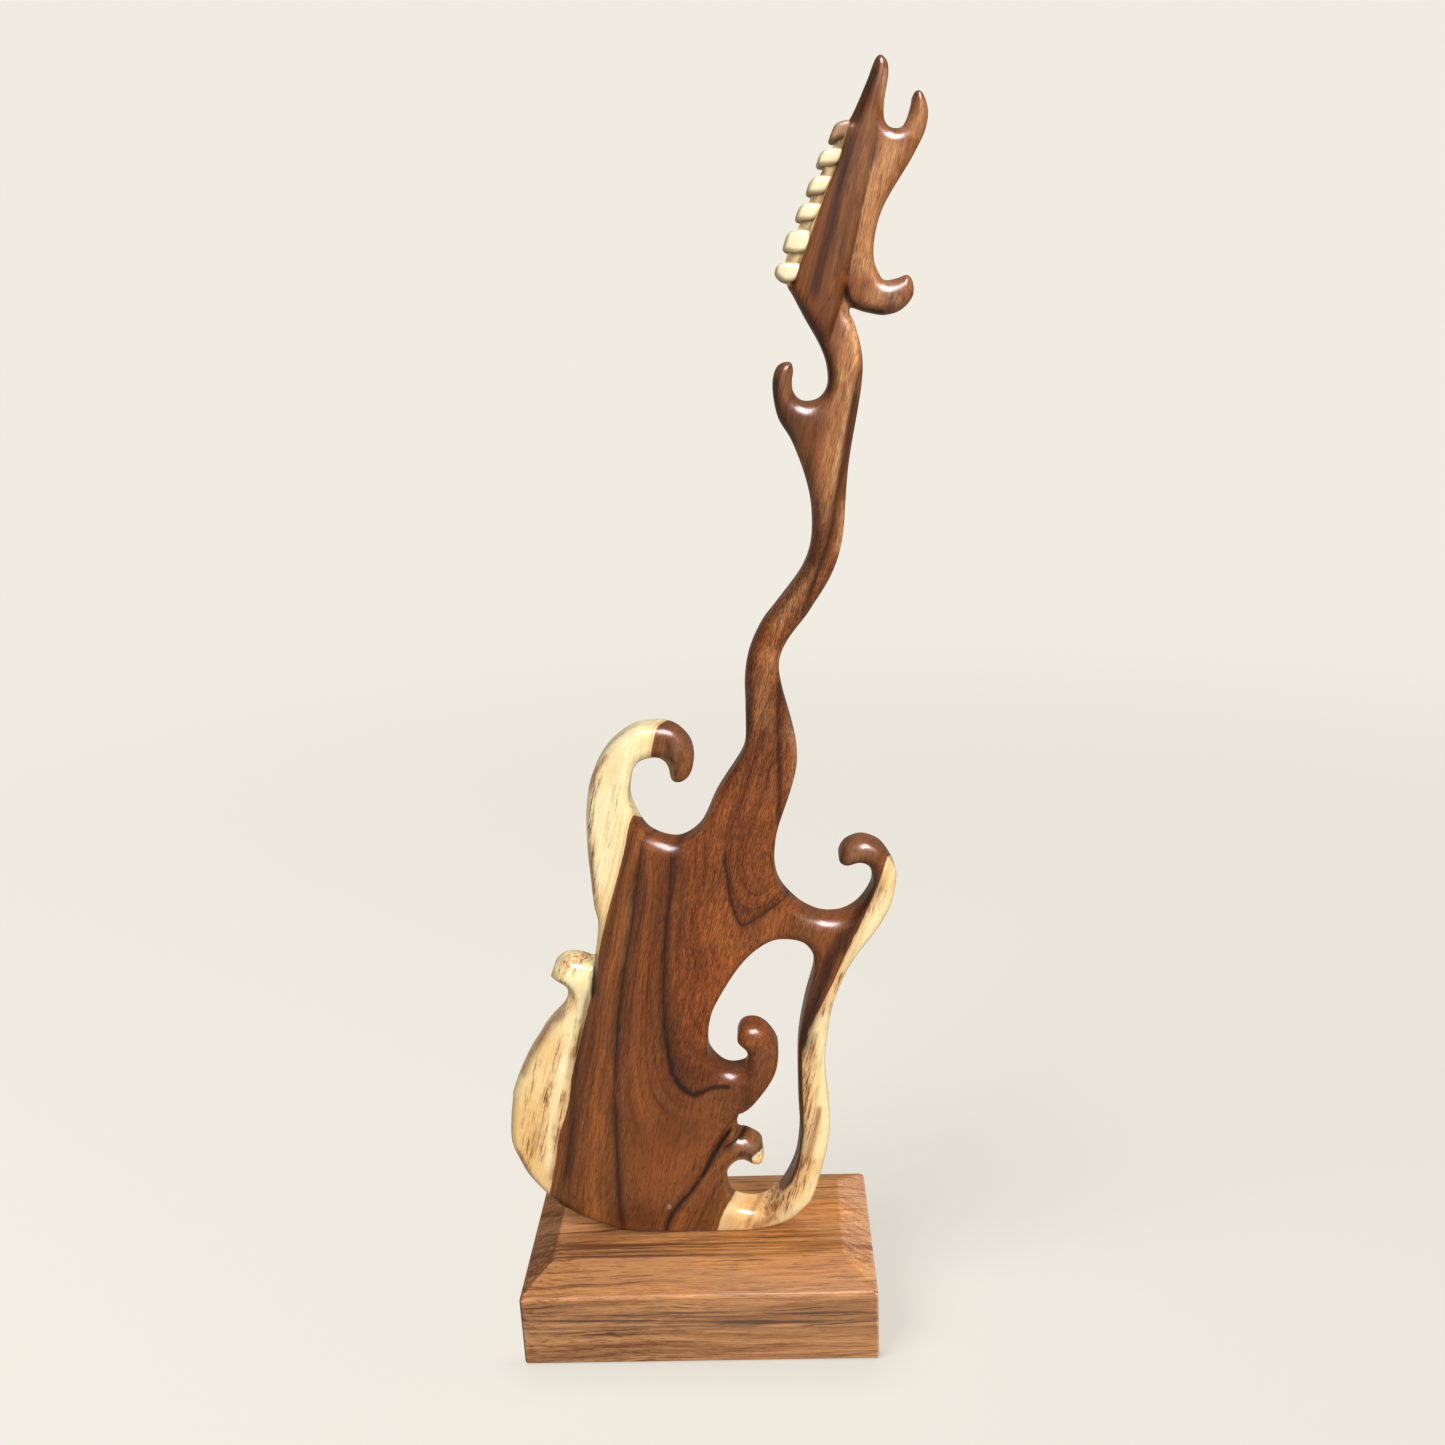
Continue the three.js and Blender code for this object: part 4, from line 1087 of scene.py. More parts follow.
class Value:
    """An output socket; arithmetic on it adds math nodes."""

    def __init__(self, socket):
        self.socket = socket

    def __add__(self, other):
        return math_node("ADD", self, other)

    def __sub__(self, other):
        return math_node("SUBTRACT", self, other)

    def __rsub__(self, other):
        return math_node("SUBTRACT", other, self)

    def __mul__(self, other):
        return math_node("MULTIPLY", self, other)

    def __pow__(self, other):
        return math_node("POWER", self, other)


def new_node(kind, inputs=(), **settings):
    """Node with its settings made and its inputs set or linked."""
    tree = material.node_tree
    node = tree.nodes.new(kind)
    for name, value in settings.items():
        setattr(node, name, value)
    for key, value in dict(inputs).items():
        if isinstance(value, Value):
            tree.links.new(value.socket, node.inputs[key])
        else:
            node.inputs[key].default_value = value
    return node


def add_node(kind, inputs=(), output=0, **settings):
    return Value(new_node(kind, inputs, **settings).outputs[output])


def start_material(name):
    """Begins a material and gives its object coordinates, in metres."""
    global material
    material = bpy.data.materials.new(name)
    material.use_nodes = True
    material.node_tree.nodes.clear()
    return add_node("ShaderNodeTexCoord", output="Object")


def finish(shader):
    new_node("ShaderNodeOutputMaterial", {"Surface": shader})
    return material


def surface(**inputs):
    """Ends a material with a principled shader; underscores stand for spaces."""
    named = {name.replace("_", " "): value for name, value in inputs.items()}
    return finish(add_node("ShaderNodeBsdfPrincipled", named))


def srgb(*channels):
    """Linear RGBA of a colour given as 0..255 sRGB."""
    parts = (c / 255 for c in channels)
    return tuple(c / 12.92 if c <= 0.04045 else ((c + 0.055) / 1.055) ** 2.4
                 for c in parts) + (1.0,)


def math_node(operation, *values):
    return add_node("ShaderNodeMath", enumerate(values), operation=operation)


def maximum(a, b):
    return math_node("MAXIMUM", a, b)


def clamped(value):
    value.socket.node.use_clamp = True
    return value


def attr(name):
    return add_node("ShaderNodeAttribute", output="Fac", attribute_name=name)


def geometry(output):
    return add_node("ShaderNodeNewGeometry", output=output)


def occlusion(samples, distance):
    return add_node("ShaderNodeAmbientOcclusion", {"Distance": distance}, "AO", samples=samples)


def mapping(vector, scale, turn=(0, 0, 0), shift=(0, 0, 0)):
    return add_node("ShaderNodeMapping", {"Vector": vector, "Scale": scale,
                                          "Rotation": turn, "Location": shift})


def millimetres(coord, tilt=0.0):
    """Position in mm; a tilt about Y lays Z along the grain."""
    return mapping(coord, scale=(1000,) * 3, turn=(0, tilt, 0))


def split(vector):
    return [Value(out) for out in new_node("ShaderNodeSeparateXYZ", {0: vector}).outputs]


def join(x, y, z):
    return add_node("ShaderNodeCombineXYZ", enumerate((x, y, z)))


def noise(vector, detail=2.0, rough=0.5, distortion=0.0, **placing):
    """Noise, about 0.5 on average; `placing` are arguments of mapping()."""
    if placing:
        vector = mapping(vector, **placing)
    return add_node("ShaderNodeTexNoise", {
        "Vector": vector, "Scale": 1.0, "Detail": detail, "Roughness": rough,
        "Distortion": distortion}, "Fac")


def remap(value, span=(0, 1), to=(0, 1), smooth=False):
    """Takes the ends of `span` to the ends of `to`, and holds beyond them."""
    return add_node("ShaderNodeMapRange", enumerate((value, *span, *to)), clamp=True,
                    interpolation_type="SMOOTHSTEP" if smooth else "LINEAR")


def ramp(value, stops):
    """Colour ramp; stops are (place, red, green, blue) in sRGB."""
    node = new_node("ShaderNodeValToRGB", {0: value})
    elements = node.color_ramp.elements
    while len(elements) < len(stops):
        elements.new(0.5)
    for element, stop in zip(elements, stops):
        element.position = stop[0]
    for element, stop in zip(elements, stops):
        element.color = srgb(*stop[1:])
    return Value(node.outputs[0])


def mix(amount, under, over, blend="MIX"):
    return add_node("ShaderNodeMix", {0: amount, 6: under, 7: over}, 2,
                    data_type="RGBA", blend_type=blend)


def multiply(colour, factors):
    return mix(1.0, colour, (*factors, 1), "MULTIPLY")


def tint(amount, colour, factors):
    """Multiplies a colour by RGB factors where `amount` is 1."""
    return mix(amount, colour, multiply(colour, factors))


def bump(height, distance, strength, normal=None):
    inputs = {"Height": height, "Distance": distance, "Strength": strength}
    if normal is not None:
        inputs["Normal"] = normal
    return add_node("ShaderNodeBump", inputs)


# ---- wood of the carving -------------------------------------------------------------------------
def heartwood(rings, calm, slope, high, plate, light, wide, thin, fine, cloud):
    heart = ramp(remap(rings, (0.0, 5.0)), [
        (0.000, 124, 82, 49), (0.012, 112, 70, 42), (0.030, 120, 77, 45), (0.068, 110, 68, 41),
        (0.124, 104, 64, 38), (0.176, 102, 62, 37), (0.208, 114, 70, 42), (0.234, 124, 77, 45),
        (0.280, 132, 82, 47), (0.330, 138, 86, 49), (0.364, 134, 83, 47), (0.390, 110, 67, 39),
        (0.408, 98, 57, 33), (0.434, 115, 68, 38), (0.476, 131, 79, 44), (0.520, 120, 70, 37),
        (0.564, 122, 73, 40), (0.590, 102, 58, 32), (0.608, 92, 50, 29), (0.634, 116, 68, 37),
        (0.676, 126, 73, 41), (0.724, 134, 79, 44), (0.764, 140, 85, 47), (0.788, 130, 78, 45),
        (0.808, 112, 63, 35), (0.836, 122, 70, 39), (0.890, 134, 79, 44), (0.960, 130, 76, 44)])
    heart = mix(calm * 0.9, heart, srgb(130, 80, 46))
    # streaks along the growth lines, weaker in quiet places but not high on the board
    loud = maximum(remap(calm, (0.2, 0.9), to=(1.0, 0.22)), high)
    heart = mix(loud, heart, mix(remap(wide, (0.35, 0.68)), multiply(heart, (0.72, 0.68, 0.65)),
                                 multiply(heart, (1.30, 1.32, 1.30))))
    lines = remap(thin, (0.52, 0.64), to=(0.0, 0.8)) * loud
    heart = tint(lines * remap(slope, (0.012, 0.03), to=(0.15, 1.0)), heart, (0.52, 0.47, 0.44))
    heart = tint(remap(cloud, (0.38, 0.62), to=(0.0, 0.6)), heart, (1.16, 1.02, 0.84))
    heart = tint(plate * 0.9, heart, (0.73, 0.66, 0.50))
    paler = ramp(fine, [(0.30, 126, 82, 50), (0.42, 174, 120, 76), (0.52, 202, 148, 98),
                        (0.61, 172, 118, 74), (0.72, 112, 71, 43)])
    return mix(light * 0.92, heart, paler)


def sapwood(rings, grain, wide, thin, fibre, cloud):
    sap = ramp(remap(rings, (-1.3, 0.0)), [
        (0.00, 255, 240, 192), (0.30, 253, 229, 172), (0.52, 255, 242, 198),
        (0.74, 246, 218, 164), (0.88, 242, 212, 158), (0.96, 236, 198, 144),
        (0.985, 214, 166, 112), (1.0, 176, 124, 76)])
    tan = clamped(attr("tan") * remap(rings, (-0.14, -0.30), to=(0.35, 1.0)))
    sap = tint(tan, sap, (0.94, 0.73, 0.53))
    sap = tint(remap(wide, (0.42, 0.68), to=(0.0, 0.75)), sap, (0.86, 0.74, 0.56))
    sap = tint(remap(thin, (0.54, 0.70), to=(0.0, 0.5)), sap, (0.84, 0.70, 0.52))
    sap = mix(attr("cream") * 0.85, sap, srgb(255, 238, 188))
    # brown lines show everywhere, more so within the streaks, which also darken the ground
    streak = attr("streak")
    lines = noise(grain, scale=(0.8, 0.4, 0.06), detail=5, rough=0.72)
    often = streak * 1.25 + 0.14
    threshold = (remap(streak, to=(0.55, 0.47)), remap(streak, to=(0.66, 0.60)))
    brown = clamped(remap(lines, threshold) * often)
    sap = mix(streak * remap(cloud, (0.3, 0.6), to=(0.10, 0.4)), sap, srgb(232, 184, 122))
    sap = mix(brown, sap, mix(remap(fibre, (0.42, 0.58)), srgb(118, 70, 38), srgb(178, 118, 66)))
    red = clamped(attr("red") * remap(lines, (0.40, 0.52), to=(0.55, 1.0)))
    return mix(red, sap, mix(remap(fibre, (0.42, 0.58)), srgb(134, 76, 42), srgb(186, 112, 66)))


def pin_hole(coord, fine):
    """Mask of a filled hole in the face near the foot."""
    x, y, z = split(millimetres(coord))
    across, up = (x + 15.0) * 1.1, (z - 65.0) * 0.62
    away = math_node("SQRT", across * across + up * up)
    return remap(away + fine, (1.7, 1.3)) * remap(y, (0, -5))


def carved_wood():
    coord = start_material("figured_wood_lacquered")
    grain = millimetres(coord, tilt=math.radians(-15))
    _, through, along = split(grain)
    calm, slope = attr("calm"), attr("slope")
    # the growth lines wander a little
    wander = noise(grain, scale=(0.05, 0.02, 0.02), detail=3)
    fine = noise(grain, scale=(0.9, 0.5, 0.09), detail=3, rough=0.6)
    rings = attr("growth") + slope * ((wander - 0.5) * 2.4 + (fine - 0.5) * 1.5)
    # streaks that follow the growth lines, and fibres along the grain
    wide = noise(join(rings * 4.0, through * 0.05, along * 0.010), detail=4, rough=0.6)
    thin = noise(join(rings * 17.0, through * 0.09, along * 0.022), detail=4, rough=0.65)
    fibre = noise(grain, scale=(1.25, 1.0, 0.055), detail=4, rough=0.7)
    pore = noise(grain, scale=(1.5, 1.2, 0.16), shift=(31, 7, 3))
    fleck = noise(grain, scale=(1.9, 1.2, 0.27), detail=3, rough=0.66, distortion=0.9)
    cloud = noise(grain, scale=(0.02, 0.02, 0.012))

    high = remap(split(millimetres(coord))[2], (395, 430))
    plate = attr("plate")
    light = attr("light") * remap(plate, to=(1.0, 0.45))
    heart = heartwood(rings, calm, slope, high, plate, light, wide, thin, fine, cloud)
    sap = sapwood(rings, grain, wide, thin, fibre, cloud)
    colour = mix(remap(rings, (-0.03, 0.01), smooth=True), sap, heart)

    # places with their own tone, and painted sheen
    pale = remap(attr("pale") + (fine - 0.5) * 0.8, (0.35, 0.65))
    colour = mix(pale, colour, srgb(238, 206, 150))
    colour = tint(attr("warm"), colour, (1.24, 1.02, 0.80))
    in_heart = remap(rings, (-0.02, 0.05))
    sheen_and_tone = attr("sheen_and_tone")
    # painted sheen and highlights where the value is positive, darker where it is negative
    colour = tint(remap(sheen_and_tone, (0, 1)), colour, (1.38, 1.52, 1.78))
    colour = tint(remap(sheen_and_tone, (0, -1)), colour, (0.66, 0.64, 0.66))
    # painted bluish sheen of the window's reflection on the curls
    colour = tint(attr("cool_sheen") * in_heart, colour, (0.86, 1.08, 1.65))
    # the body's heartwood is a fuller, redder brown than the neck's
    body = in_heart * remap(split(millimetres(coord))[2], (335, 275))
    colour = tint(body, colour, (0.99, 0.94, 0.78))
    # darker streaks of the wood, and painted shade in the creases and under the pegs and hooks
    dark = clamped(attr("dark") * remap(fine, (0.30, 0.62), to=(0.66, 1.0)))
    colour = mix(dark, colour, srgb(46, 24, 14))

    # dark and bright flecks, bright fibres and dark pores
    heartness = remap(rings, (-0.05, 0.1))
    core = maximum(remap(rings, (2.6, 3.5), to=(0.42, 1.0)), light * 0.9)
    core = core * remap(high, to=(1.0, 0.38))
    spots = remap(fleck, (0.49, 0.57)) * (heartness * core)
    colour = tint(spots * 0.66, colour, (0.40, 0.34, 0.32))
    bright = remap(fleck, (0.48, 0.40)) * (heartness * core)
    colour = tint(bright * 0.62, colour, (1.62, 1.60, 1.50))
    shine = remap(fibre, (0.47, 0.38)) * heartness
    colour = tint(shine * 0.55, colour, (1.46, 1.44, 1.34))
    pores = maximum(remap(fibre, (0.55, 0.66)), remap(pore, (0.60, 0.66)))
    pore_depth = remap(heartness, to=(0.24, 0.70)) * remap(high, to=(1.0, 0.62))
    colour = tint(pores * pore_depth, colour, (0.44, 0.38, 0.34))

    # fine dark lines and painted crease shade, with a slightly ragged edge
    away = math_node("ABSOLUTE", attr("line_and_shade") + (fine - 0.5) * 0.7)
    width = attr("line_and_shade_width")
    line_and_shade = remap(away, (width * 1.5, width * 0.15), smooth=True)
    colour = mix(clamped(line_and_shade * attr("line_and_shade_on")), colour, srgb(34, 17, 10))
    colour = mix(pin_hole(coord, fine) * 0.75, colour, srgb(150, 130, 108))
    # painted shade in the creases, darker where ambient occlusion finds them
    crease_shade = remap(occlusion(samples=4, distance=0.004), (0.35, 0.8), to=(0.6, 0.0))
    colour = tint(crease_shade, colour, (0.42, 0.34, 0.30))

    hand = noise(grain, scale=(0.07, 0.07, 0.045))
    worked = bump(hand, distance=0.0007, strength=0.35)
    return surface(
        Base_Color=colour, Roughness=remap(fibre, (0.3, 0.7), to=(0.40, 0.52)),
        Normal=bump(fibre - pores * 0.8, distance=0.00010, strength=0.4, normal=worked),
        IOR=1.45, Specular_IOR_Level=0.10, Coat_Weight=1.0, Coat_IOR=1.5,
        Coat_Roughness=remap(cloud, (0.3, 0.7), to=(0.15, 0.23)),
        Coat_Normal=bump(hand + fibre * 0.05, distance=0.0008, strength=0.4))


def peg_wood(name, stops):
    """Peg wood; the stops are (place, red, green, blue), light to dark."""
    grain = millimetres(start_material(name), tilt=math.radians(-20))
    fibre = noise(grain, scale=(2.0, 1.6, 0.10), detail=3, rough=0.65)
    colour = ramp(noise(grain, scale=(0.12, 0.1, 0.03), detail=3), stops)
    colour = tint(remap(fibre, (0.55, 0.72), to=(0.0, 0.35)), colour, (0.66, 0.55, 0.45))
    # painted shade in the creases, from ambient occlusion
    crease_shade = remap(occlusion(samples=4, distance=0.004), (0.3, 0.9), to=(0.85, 0.0))
    colour = tint(crease_shade, colour, (0.36, 0.27, 0.21))
    # painted shade on the undersides and the left-hand sides
    facing = split(geometry("Normal"))
    shade = maximum(remap(facing[2], (-0.05, -0.75)), remap(facing[0], (-0.35, -0.95)))
    colour = tint(shade * 0.72, colour, (0.50, 0.41, 0.33))
    worked = bump(noise(grain, scale=(0.2, 0.2, 0.2)), distance=0.0006, strength=0.35)
    return surface(
        Base_Color=colour, Roughness=0.38,
        Normal=bump(fibre, distance=0.00008, strength=0.4, normal=worked),
        IOR=1.48, Specular_IOR_Level=0.2, Coat_Weight=0.4, Coat_Roughness=0.3, Coat_Normal=worked)


# ---- wood of the base block ------------------------------------------------------------------------
def block_grain(position, x, y, z, fibre, pores):
    """Colour of the block before its faces are told apart."""
    # growth rings about an axis along X, behind and below the block, bent and rippled
    bend = noise(position, scale=(0.0045, 0.012, 0.012))
    ripple = noise(position, scale=(0.030, 0.05, 0.05), detail=3)
    from_y, from_z = y + 150.0, z + 95.0
    ring = math_node("SQRT", from_y * from_y + from_z * from_z)
    ring = ring + bend * 17.0 + ripple * 2.6 + x * -0.035
    wide = noise(join(ring * 0.15, x * 0.004, 3.0), detail=4, rough=0.6)
    thin = noise(join(ring * 0.75, x * 0.012, 9.0), detail=4, rough=0.7)
    wave = noise(position, scale=(0.17, 0.80, 0.80), turn=(0, 0, -0.22), detail=3, rough=0.6,
                 distortion=0.35)
    patches = noise(position, scale=(0.016, 0.03, 0.03), shift=(3, 0, 0), detail=1)
    curly = remap(patches, (0.45, 0.62)) * remap(x, (20, -60))
    colour = ramp(wide, [(0.26, 126, 82, 52), (0.40, 170, 114, 70), (0.50, 198, 138, 86),
                         (0.60, 182, 122, 74), (0.72, 128, 84, 54)])
    colour = mix(remap(thin, (0.52, 0.66), to=(0.0, 0.75)), colour, srgb(116, 74, 48))
    colour = mix(remap(thin, (0.60, 0.67), to=(0.0, 0.9)), colour, srgb(60, 38, 28))
    waves = remap(wave, (0.50, 0.62)) * (curly * 0.75 + 0.15)
    colour = tint(waves, colour, (0.50, 0.40, 0.34))
    colour = tint(remap(fibre, (0.47, 0.37), to=(0.0, 0.6)), colour, (1.34, 1.30, 1.2))
    return tint(pores * 0.58, colour, (0.44, 0.36, 0.32))


def base_wood():
    position = millimetres(start_material("planed_block_wood"))
    x, y, z = split(position)
    fibre = noise(position, scale=(0.06, 1.2, 1.2), detail=4, rough=0.7)
    pore = noise(position, scale=(0.14, 1.5, 1.5), shift=(5, 17, 3))
    pores = maximum(remap(fibre, (0.54, 0.66)), remap(pore, (0.60, 0.66)))
    colour = block_grain(position, x, y, z, fibre, pores)

    # the front and back are a duller cut than the bevels; the end grain is redder
    normal_x, normal_y, normal_z = split(geometry("Normal"))
    upright = remap(math_node("ABSOLUTE", normal_y), (0.75, 1.0))
    colour = tint(upright * 0.6, colour, (0.80, 0.80, 0.84))
    ends = remap(math_node("ABSOLUTE", normal_x), (0.25, 0.5))
    colour = tint(ends * 0.5, colour, (1.0, 0.84, 0.80))
    # painted light on the right-hand end and painted shade on the left-hand end
    colour = tint(remap(normal_x, (0.25, 0.5)), colour, (1.22, 1.32, 1.44))
    colour = tint(remap(normal_x, (-0.25, -0.5)), colour, (0.64, 0.72, 0.92))
    # the end bevels cut the rings on a slant, as fine stripes that run down to the corners
    stripes = noise(position, scale=(0.05, 0.42, 0.10), turn=(0, 0, 0.45), shift=(2, 5, 0),
                    detail=4, rough=0.65)
    end_bevel = ends * remap(normal_z, (0.3, 0.6))
    colour = tint(end_bevel * remap(stripes, (0.50, 0.60), to=(0.0, 0.6)), colour,
                  (0.62, 0.48, 0.42))
    colour = tint(end_bevel * remap(stripes, (0.46, 0.38), to=(0.0, 0.6)), colour,
                  (1.16, 1.16, 1.14))
    # front face: grey streaks under the shoulder, redder lines toward the foot
    face = remap(normal_y, (-0.90, -0.97))
    streaks = noise(position, scale=(0.011, 0.55, 0.55), shift=(0, 3, 8), detail=4, rough=0.7)
    upper = remap(z, (17, 24)) * remap(z, (35, 29))
    lower = remap(z, (2, 5)) * remap(z, (14, 9))
    colour = mix(face * upper * remap(streaks, (0.46, 0.58), to=(0.0, 0.95)), colour,
                 srgb(88, 64, 50))
    colour = mix(face * lower * remap(streaks, (0.50, 0.58), to=(0.0, 0.9)), colour,
                 srgb(116, 58, 34))
    # dark streaks across the front bevel, and golden wood on all that faces up
    slant = remap(normal_z, (0.75, 0.85))
    band = (remap(y, (-33, -29.5)) * remap(y, (-12, -21))) * remap(x, (60, -10), to=(0.45, 1.0))
    colour = mix(slant * band * remap(streaks, (0.45, 0.57), to=(0.0, 0.9)), colour,
                 srgb(98, 60, 38))
    gold = noise(position, scale=(0.010, 0.035, 0.035), shift=(7, 1, 4))
    colour = tint(slant * remap(gold, (0.45, 0.60), to=(0.0, 0.8)), colour, (1.14, 1.04, 0.80))
    # painted highlight along the shoulder and the top's rim
    arris = remap(normal_z, (0.12, 0.35)) * remap(normal_z, (0.82, 0.62))
    colour = tint(arris * 0.75, colour, (1.36, 1.44, 1.6))
    crest = remap(normal_z, (0.90, 0.925)) * remap(normal_z, (0.995, 0.98))
    colour = tint(crest * 0.6, colour, (1.14, 1.16, 1.2))
    # balance of the whole, the front face and the front bevel, and painted light on the right-hand end
    colour = multiply(colour, (0.91, 0.95, 0.97))
    colour = tint(face, colour, (1.16, 1.26, 1.48))
    bevel = remap(normal_y, (-0.30, -0.42)) * remap(normal_z, (0.80, 0.87))
    colour = tint(bevel, colour, (0.91, 0.885, 0.80))
    colour = tint(remap(normal_x, (0.25, 0.5)), colour, (1.06, 1.26, 1.72))
    # painted highlight on the arrises, where the mesh is sharpest
    arris_highlight = remap(geometry("Pointiness"), (0.52, 0.60), to=(0.0, 0.45))
    colour = tint(arris_highlight, colour, (1.3, 1.25, 1.2))
    planed = bump(noise(position, scale=(0.02, 0.05, 0.05)), distance=0.0005, strength=0.25)
    return surface(
        Base_Color=colour, Roughness=remap(fibre, (0.3, 0.7), to=(0.44, 0.58)),
        Normal=bump(fibre - pores * 0.7, distance=0.00010, strength=0.5, normal=planed),
        IOR=1.45, Specular_IOR_Level=0.04, Coat_Weight=0.42, Coat_Roughness=0.22,
        Coat_Normal=planed)


# ---- steel and felt ----------------------------------------------------------------------------------
def plated_steel():
    position = millimetres(start_material("zinc_plated_steel"))
    lines = noise(position, scale=(0.6, 0.6, 7.0), detail=3)
    blotch = noise(position, scale=(0.5, 0.5, 0.5), detail=4, rough=0.65)
    colour = ramp(blotch, [(0.3, 150, 148, 140), (0.55, 190, 190, 186), (0.75, 206, 204, 192)])
    return surface(Base_Color=colour, Metallic=1.0,
                   Roughness=remap(blotch, (0.3, 0.7), to=(0.26, 0.46)),
                   Normal=bump(lines, distance=0.00005, strength=0.4))


def felt_cloth():
    position = millimetres(start_material("dark_felt"))
    hairs = noise(position, scale=(1.4, 1.4, 1.4), detail=5, rough=0.75, distortion=1.4)
    patch = noise(position, scale=(0.12, 0.12, 0.12), detail=3)
    colour = ramp(hairs, [(0.35, 24, 22, 21), (0.55, 44, 41, 39), (0.72, 74, 70, 66)])
    colour = mix(remap(patch, (0.35, 0.7), to=(0.0, 0.35)), colour, srgb(52, 47, 43))
    return surface(Base_Color=colour, Roughness=0.95, Sheen_Weight=0.4, Sheen_Roughness=0.5,
                   Specular_IOR_Level=0.1, Normal=bump(hairs, distance=0.0003, strength=0.8))


def dress(ob, look, node):
    ob.data.materials.clear()
    ob.data.materials.append(look)
    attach(ob, "root")
    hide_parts(node)


wood = carved_wood()
sap_peg = peg_wood("peg_sapwood", [(0.36, 248, 236, 200), (0.56, 240, 220, 178),
                                   (0.74, 220, 188, 140)])
brown_peg = peg_wood("peg_brown_wood", [(0.36, 196, 158, 124), (0.56, 166, 128, 98),
                                        (0.74, 112, 80, 58)])
dress(carving, wood, "guitar_carving")
for number, ob in enumerate(pegs, 1):
    dress(ob, brown_peg if number == 1 else sap_peg, f"tuning_peg_{number}")
dress(base, base_wood(), "base_block")
steel = plated_steel()
for number, ob in enumerate(screws, 1):
    dress(ob, steel, f"base_screw_{number}")
dress(felt, felt_cloth(), "base_felt")

# ---- floor, in metres ----------------------------------------------------------------------------------
FLOOR_COLOUR = (0.19, 0.182, 0.165, 1)
GLOW_COLOUR = (0.879, 0.839, 0.761, 1)
# strength of the floor's own glow: seen near the object, for other rays, for glossy rays
GLOW_NEAR, GLOW_OTHER, GLOW_GLOSS = 0.745, 0.185, 0.03
WALL_RADIUS, WALL_BEND, WALL_TOP, WALL_SEGMENTS = 4.0, 1.6, 5.0, 96


def floor_material():
    coord = start_material("pale_floor")
    paths = new_node("ShaderNodeLightPath").outputs
    seen, gloss = Value(paths["Is Camera Ray"]), Value(paths["Is Glossy Ray"])
    away = math_node("SQRT", split(coord)[0] ** 2.0 + split(coord)[1] ** 2.0)
    near = remap(away, (0.45, 1.9), to=(1.0, 0.0), smooth=True)
    shade = add_node("ShaderNodeBsdfDiffuse", {
        "Color": mix(seen * (1.0 - near), FLOOR_COLOUR, (0, 0, 0, 1))})
    level = remap(near, to=(1.0, GLOW_NEAR))
    unseen = mix(gloss, (GLOW_OTHER,) * 3 + (1,), (GLOW_GLOSS,) * 3 + (1,))
    level = mix(seen, unseen, join(level, level, level))
    # light from all round hardly reaches under the front edge of the block
    hollow = occlusion(samples=2, distance=0.030)
    front = remap(split(coord)[1], (-0.040, -0.0485))
    rest = 1.0 - seen * front * remap(hollow, (0.98, 0.50), to=(0.0, 0.19))
    glow = add_node("ShaderNodeEmission", {
        "Color": GLOW_COLOUR, "Strength": mix(1.0, level, join(rest, rest, rest), "MULTIPLY")})
    finish(add_node("ShaderNodeAddShader", {0: shade, 1: glow}))
    material.cycles.emission_sampling = "NONE"
    return material


def backdrop():
    """Pale floor that sweeps up all round into a wall."""
    flat = WALL_RADIUS - WALL_BEND
    rows = [(0.02, 0.0), (0.5, 0.0), (1.2, 0.0), (2.0, 0.0), (flat, 0.0)]
    rows += [(flat + WALL_BEND * math.sin(t), WALL_BEND - WALL_BEND * math.cos(t))
             for t in np.linspace(0.08, math.pi / 2, 18)]
    rows.append((WALL_RADIUS, WALL_TOP))
    faces = side_quads(len(rows), WALL_SEGMENTS) + [tuple(range(WALL_SEGMENTS))]
    ob = mesh_object("floor", ring_points(rows, WALL_SEGMENTS) * 1000, faces)
    ob.data.materials.append(floor_material())
    return ob


floor = backdrop()


# ---- world and lights ------------------------------------------------------------------------------------
def studio_world():
    """Even sky, dimmer where glossy rays see it."""
    world = bpy.data.worlds.new("studio")
    bpy.context.scene.world = world
    world.use_nodes = True
    tree = world.node_tree
    sky = tree.nodes["Background"]
    sky.inputs["Color"].default_value = (0.95, 0.97, 1.0, 1)
    path = tree.nodes.new("ShaderNodeLightPath")
    strength = tree.nodes.new("ShaderNodeMapRange")
    strength.inputs["To Min"].default_value = 0.36
    strength.inputs["To Max"].default_value = 0.08
    tree.links.new(path.outputs["Is Glossy Ray"], strength.inputs[0])
    tree.links.new(strength.outputs[0], sky.inputs["Strength"])


def receivers(name, obs):
    collection = bpy.data.collections.new(name)
    for ob in obs:
        collection.objects.link(ob)
    return collection


def area_light(name, place, target, size, power, colour, reflected, diffuse, lit):
    data = bpy.data.lights.new(name, "AREA")
    data.shape = "RECTANGLE"
    data.size, data.size_y = size
    data.energy, data.color = power, colour
    ob = bpy.data.objects.new(name, data)
    ob.location = place
    ob.rotation_euler = (Vector(target) - Vector(place)).to_track_quat("-Z", "Y").to_euler()
    ob.visible_glossy, ob.visible_diffuse = reflected, diffuse
    bpy.context.scene.collection.objects.link(ob)
    ob.light_linking.receiver_collection = lit


studio_world()
# the floor and the object each have their own main light
on_floor = receivers("lit_floor", [floor])
on_object = receivers("lit_object", [carving, base, felt] + pegs + screws)
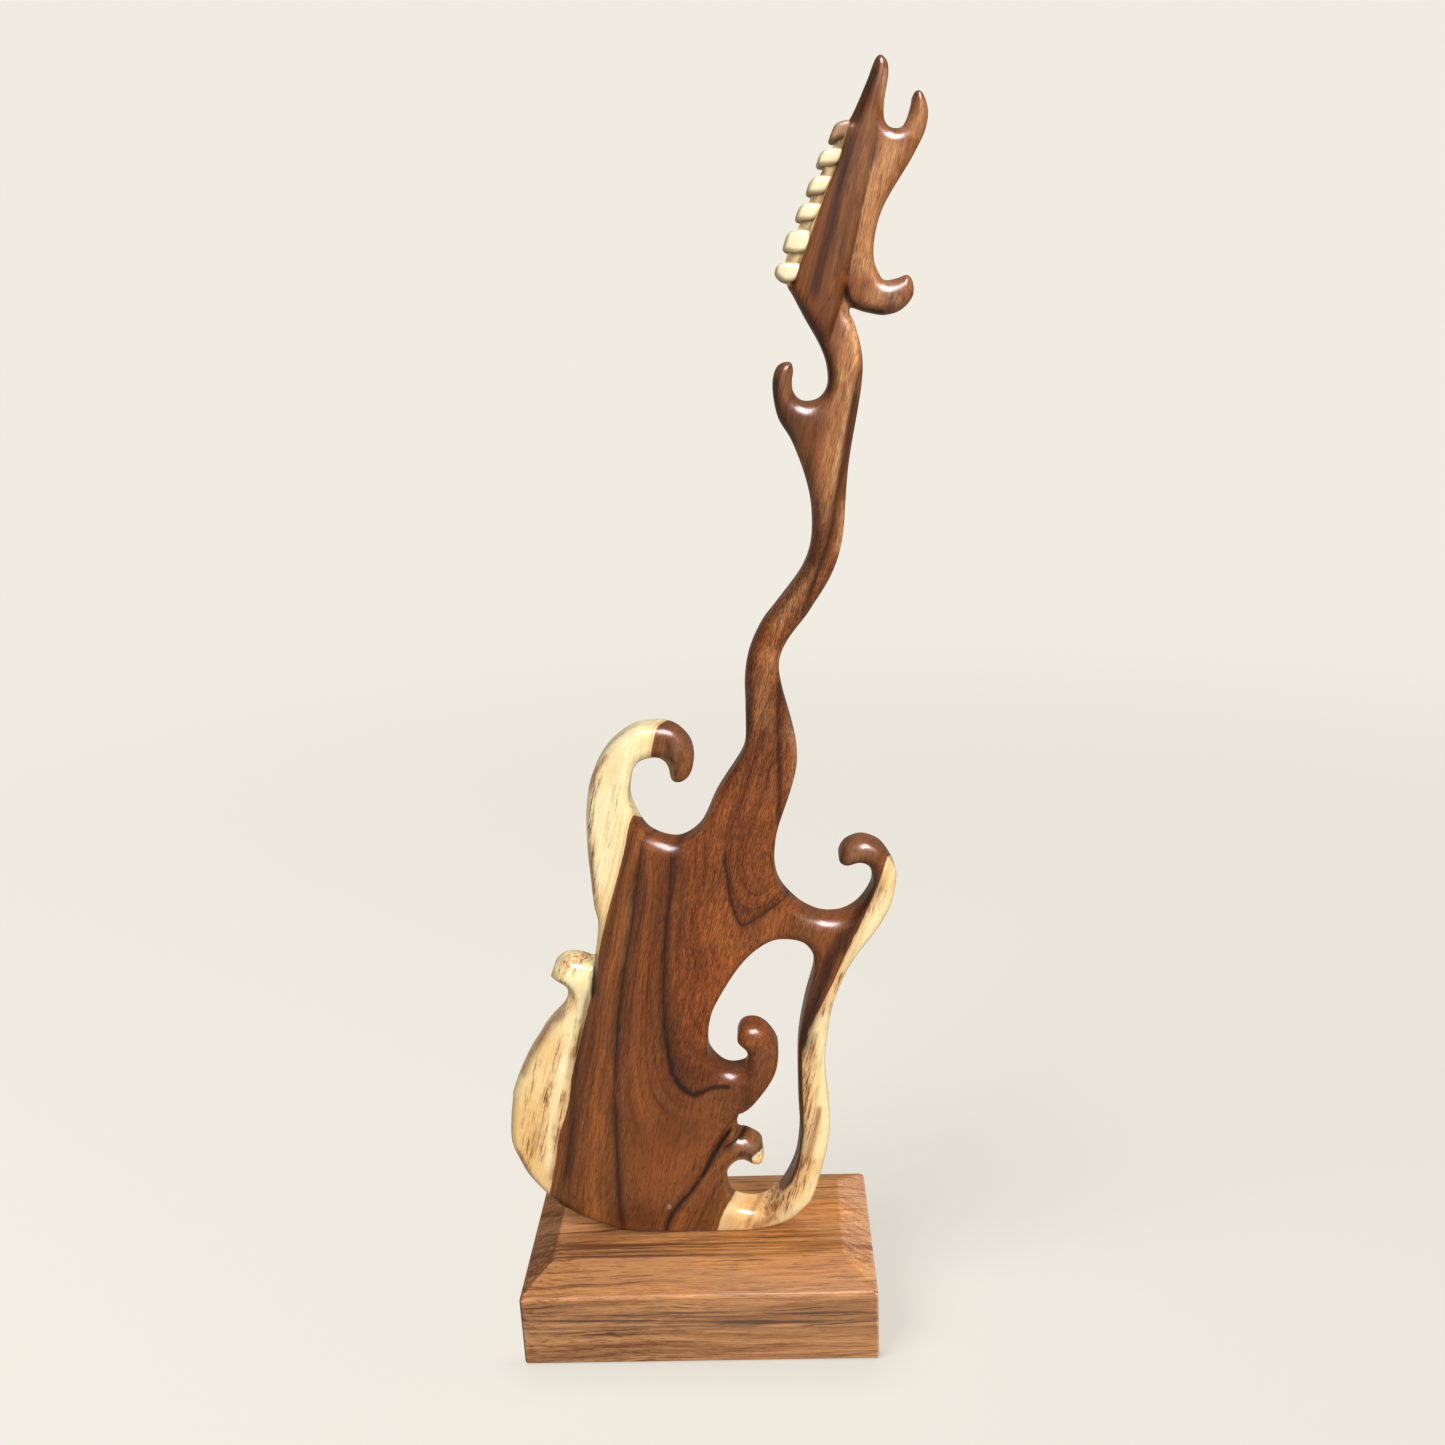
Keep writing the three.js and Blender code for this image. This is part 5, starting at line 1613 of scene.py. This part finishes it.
# name, place, target, size, watts, colour, seen in reflections, lights diffusely, what it lights
for row in (
    ("floor_key", (-1.50, -1.24, 2.35), (0.0, 0, 0.0), (1.8, 1.8), 112.0, (1.0, 0.98, 0.95),
     False, True, on_floor),
    ("key", (1.6, -1.75, 1.75), (0.02, 0, 0.30), (1.2, 1.2), 88.0, (1.0, 0.975, 0.94),
     False, True, on_object),
    ("fill", (-1.3, -1.9, 1.3), (0.02, 0, 0.30), (1.2, 1.2), 14.0, (0.96, 0.98, 1.0),
     False, True, on_object),
    ("back", (-0.7, 2.2, 1.5), (0.02, 0, 0.25), (1.4, 1.4), 46.0, (1.0, 0.98, 0.96),
     False, True, on_object),
    ("room", (0.1, -2.6, 1.2), (0.05, 0, 0.5), (2.6, 1.8), 6.6, (0.97, 0.98, 1.0),
     True, False, on_object),
    ("window", (0.46, -0.80, 1.95), (0.03, 0, 0.3), (1.25, 0.95), 70.0, (0.92, 0.95, 1.0),
     True, False, on_object),
    ("window_glow", (0.47, -0.82, 1.99), (0.03, 0, 0.3), (2.1, 1.8), 38.0, (1.0, 0.86, 0.90),
     True, False, on_object),
):
    area_light(*row)

# ---- camera ------------------------------------------------------------------------------------------------
CAMERA_PLACE = (0.04793, -0.58839, 0.49085)
CAMERA_YAW, CAMERA_PITCH, CAMERA_ROLL = map(math.radians, (-2.369, 16.151, -2.677))
CAMERA_SENSOR, CAMERA_LENS = 36.0, 32.5170934


def place_camera():
    """Camera that looks along +Y; positive pitch looks down."""
    yaw, pitch, roll = CAMERA_YAW, CAMERA_PITCH, CAMERA_ROLL
    forward = Vector((math.sin(yaw) * math.cos(pitch), math.cos(yaw) * math.cos(pitch),
                      -math.sin(pitch)))
    right = Vector((math.cos(yaw), -math.sin(yaw), 0))
    up = right.cross(forward)
    rolled_right = right * math.cos(roll) + up * math.sin(roll)
    rolled_up = -right * math.sin(roll) + up * math.cos(roll)
    pose = Matrix((rolled_right, rolled_up, -forward)).transposed().to_4x4()
    pose.translation = CAMERA_PLACE
    data = bpy.data.cameras.new("camera")
    data.sensor_width, data.lens = CAMERA_SENSOR, CAMERA_LENS
    data.clip_start, data.clip_end = 0.01, 50
    camera = link_object("camera", data)
    camera.matrix_world = pose
    bpy.context.scene.camera = camera


place_camera()
bpy.context.scene.view_settings.view_transform = "Standard"
bpy.context.scene.view_settings.look = "None"
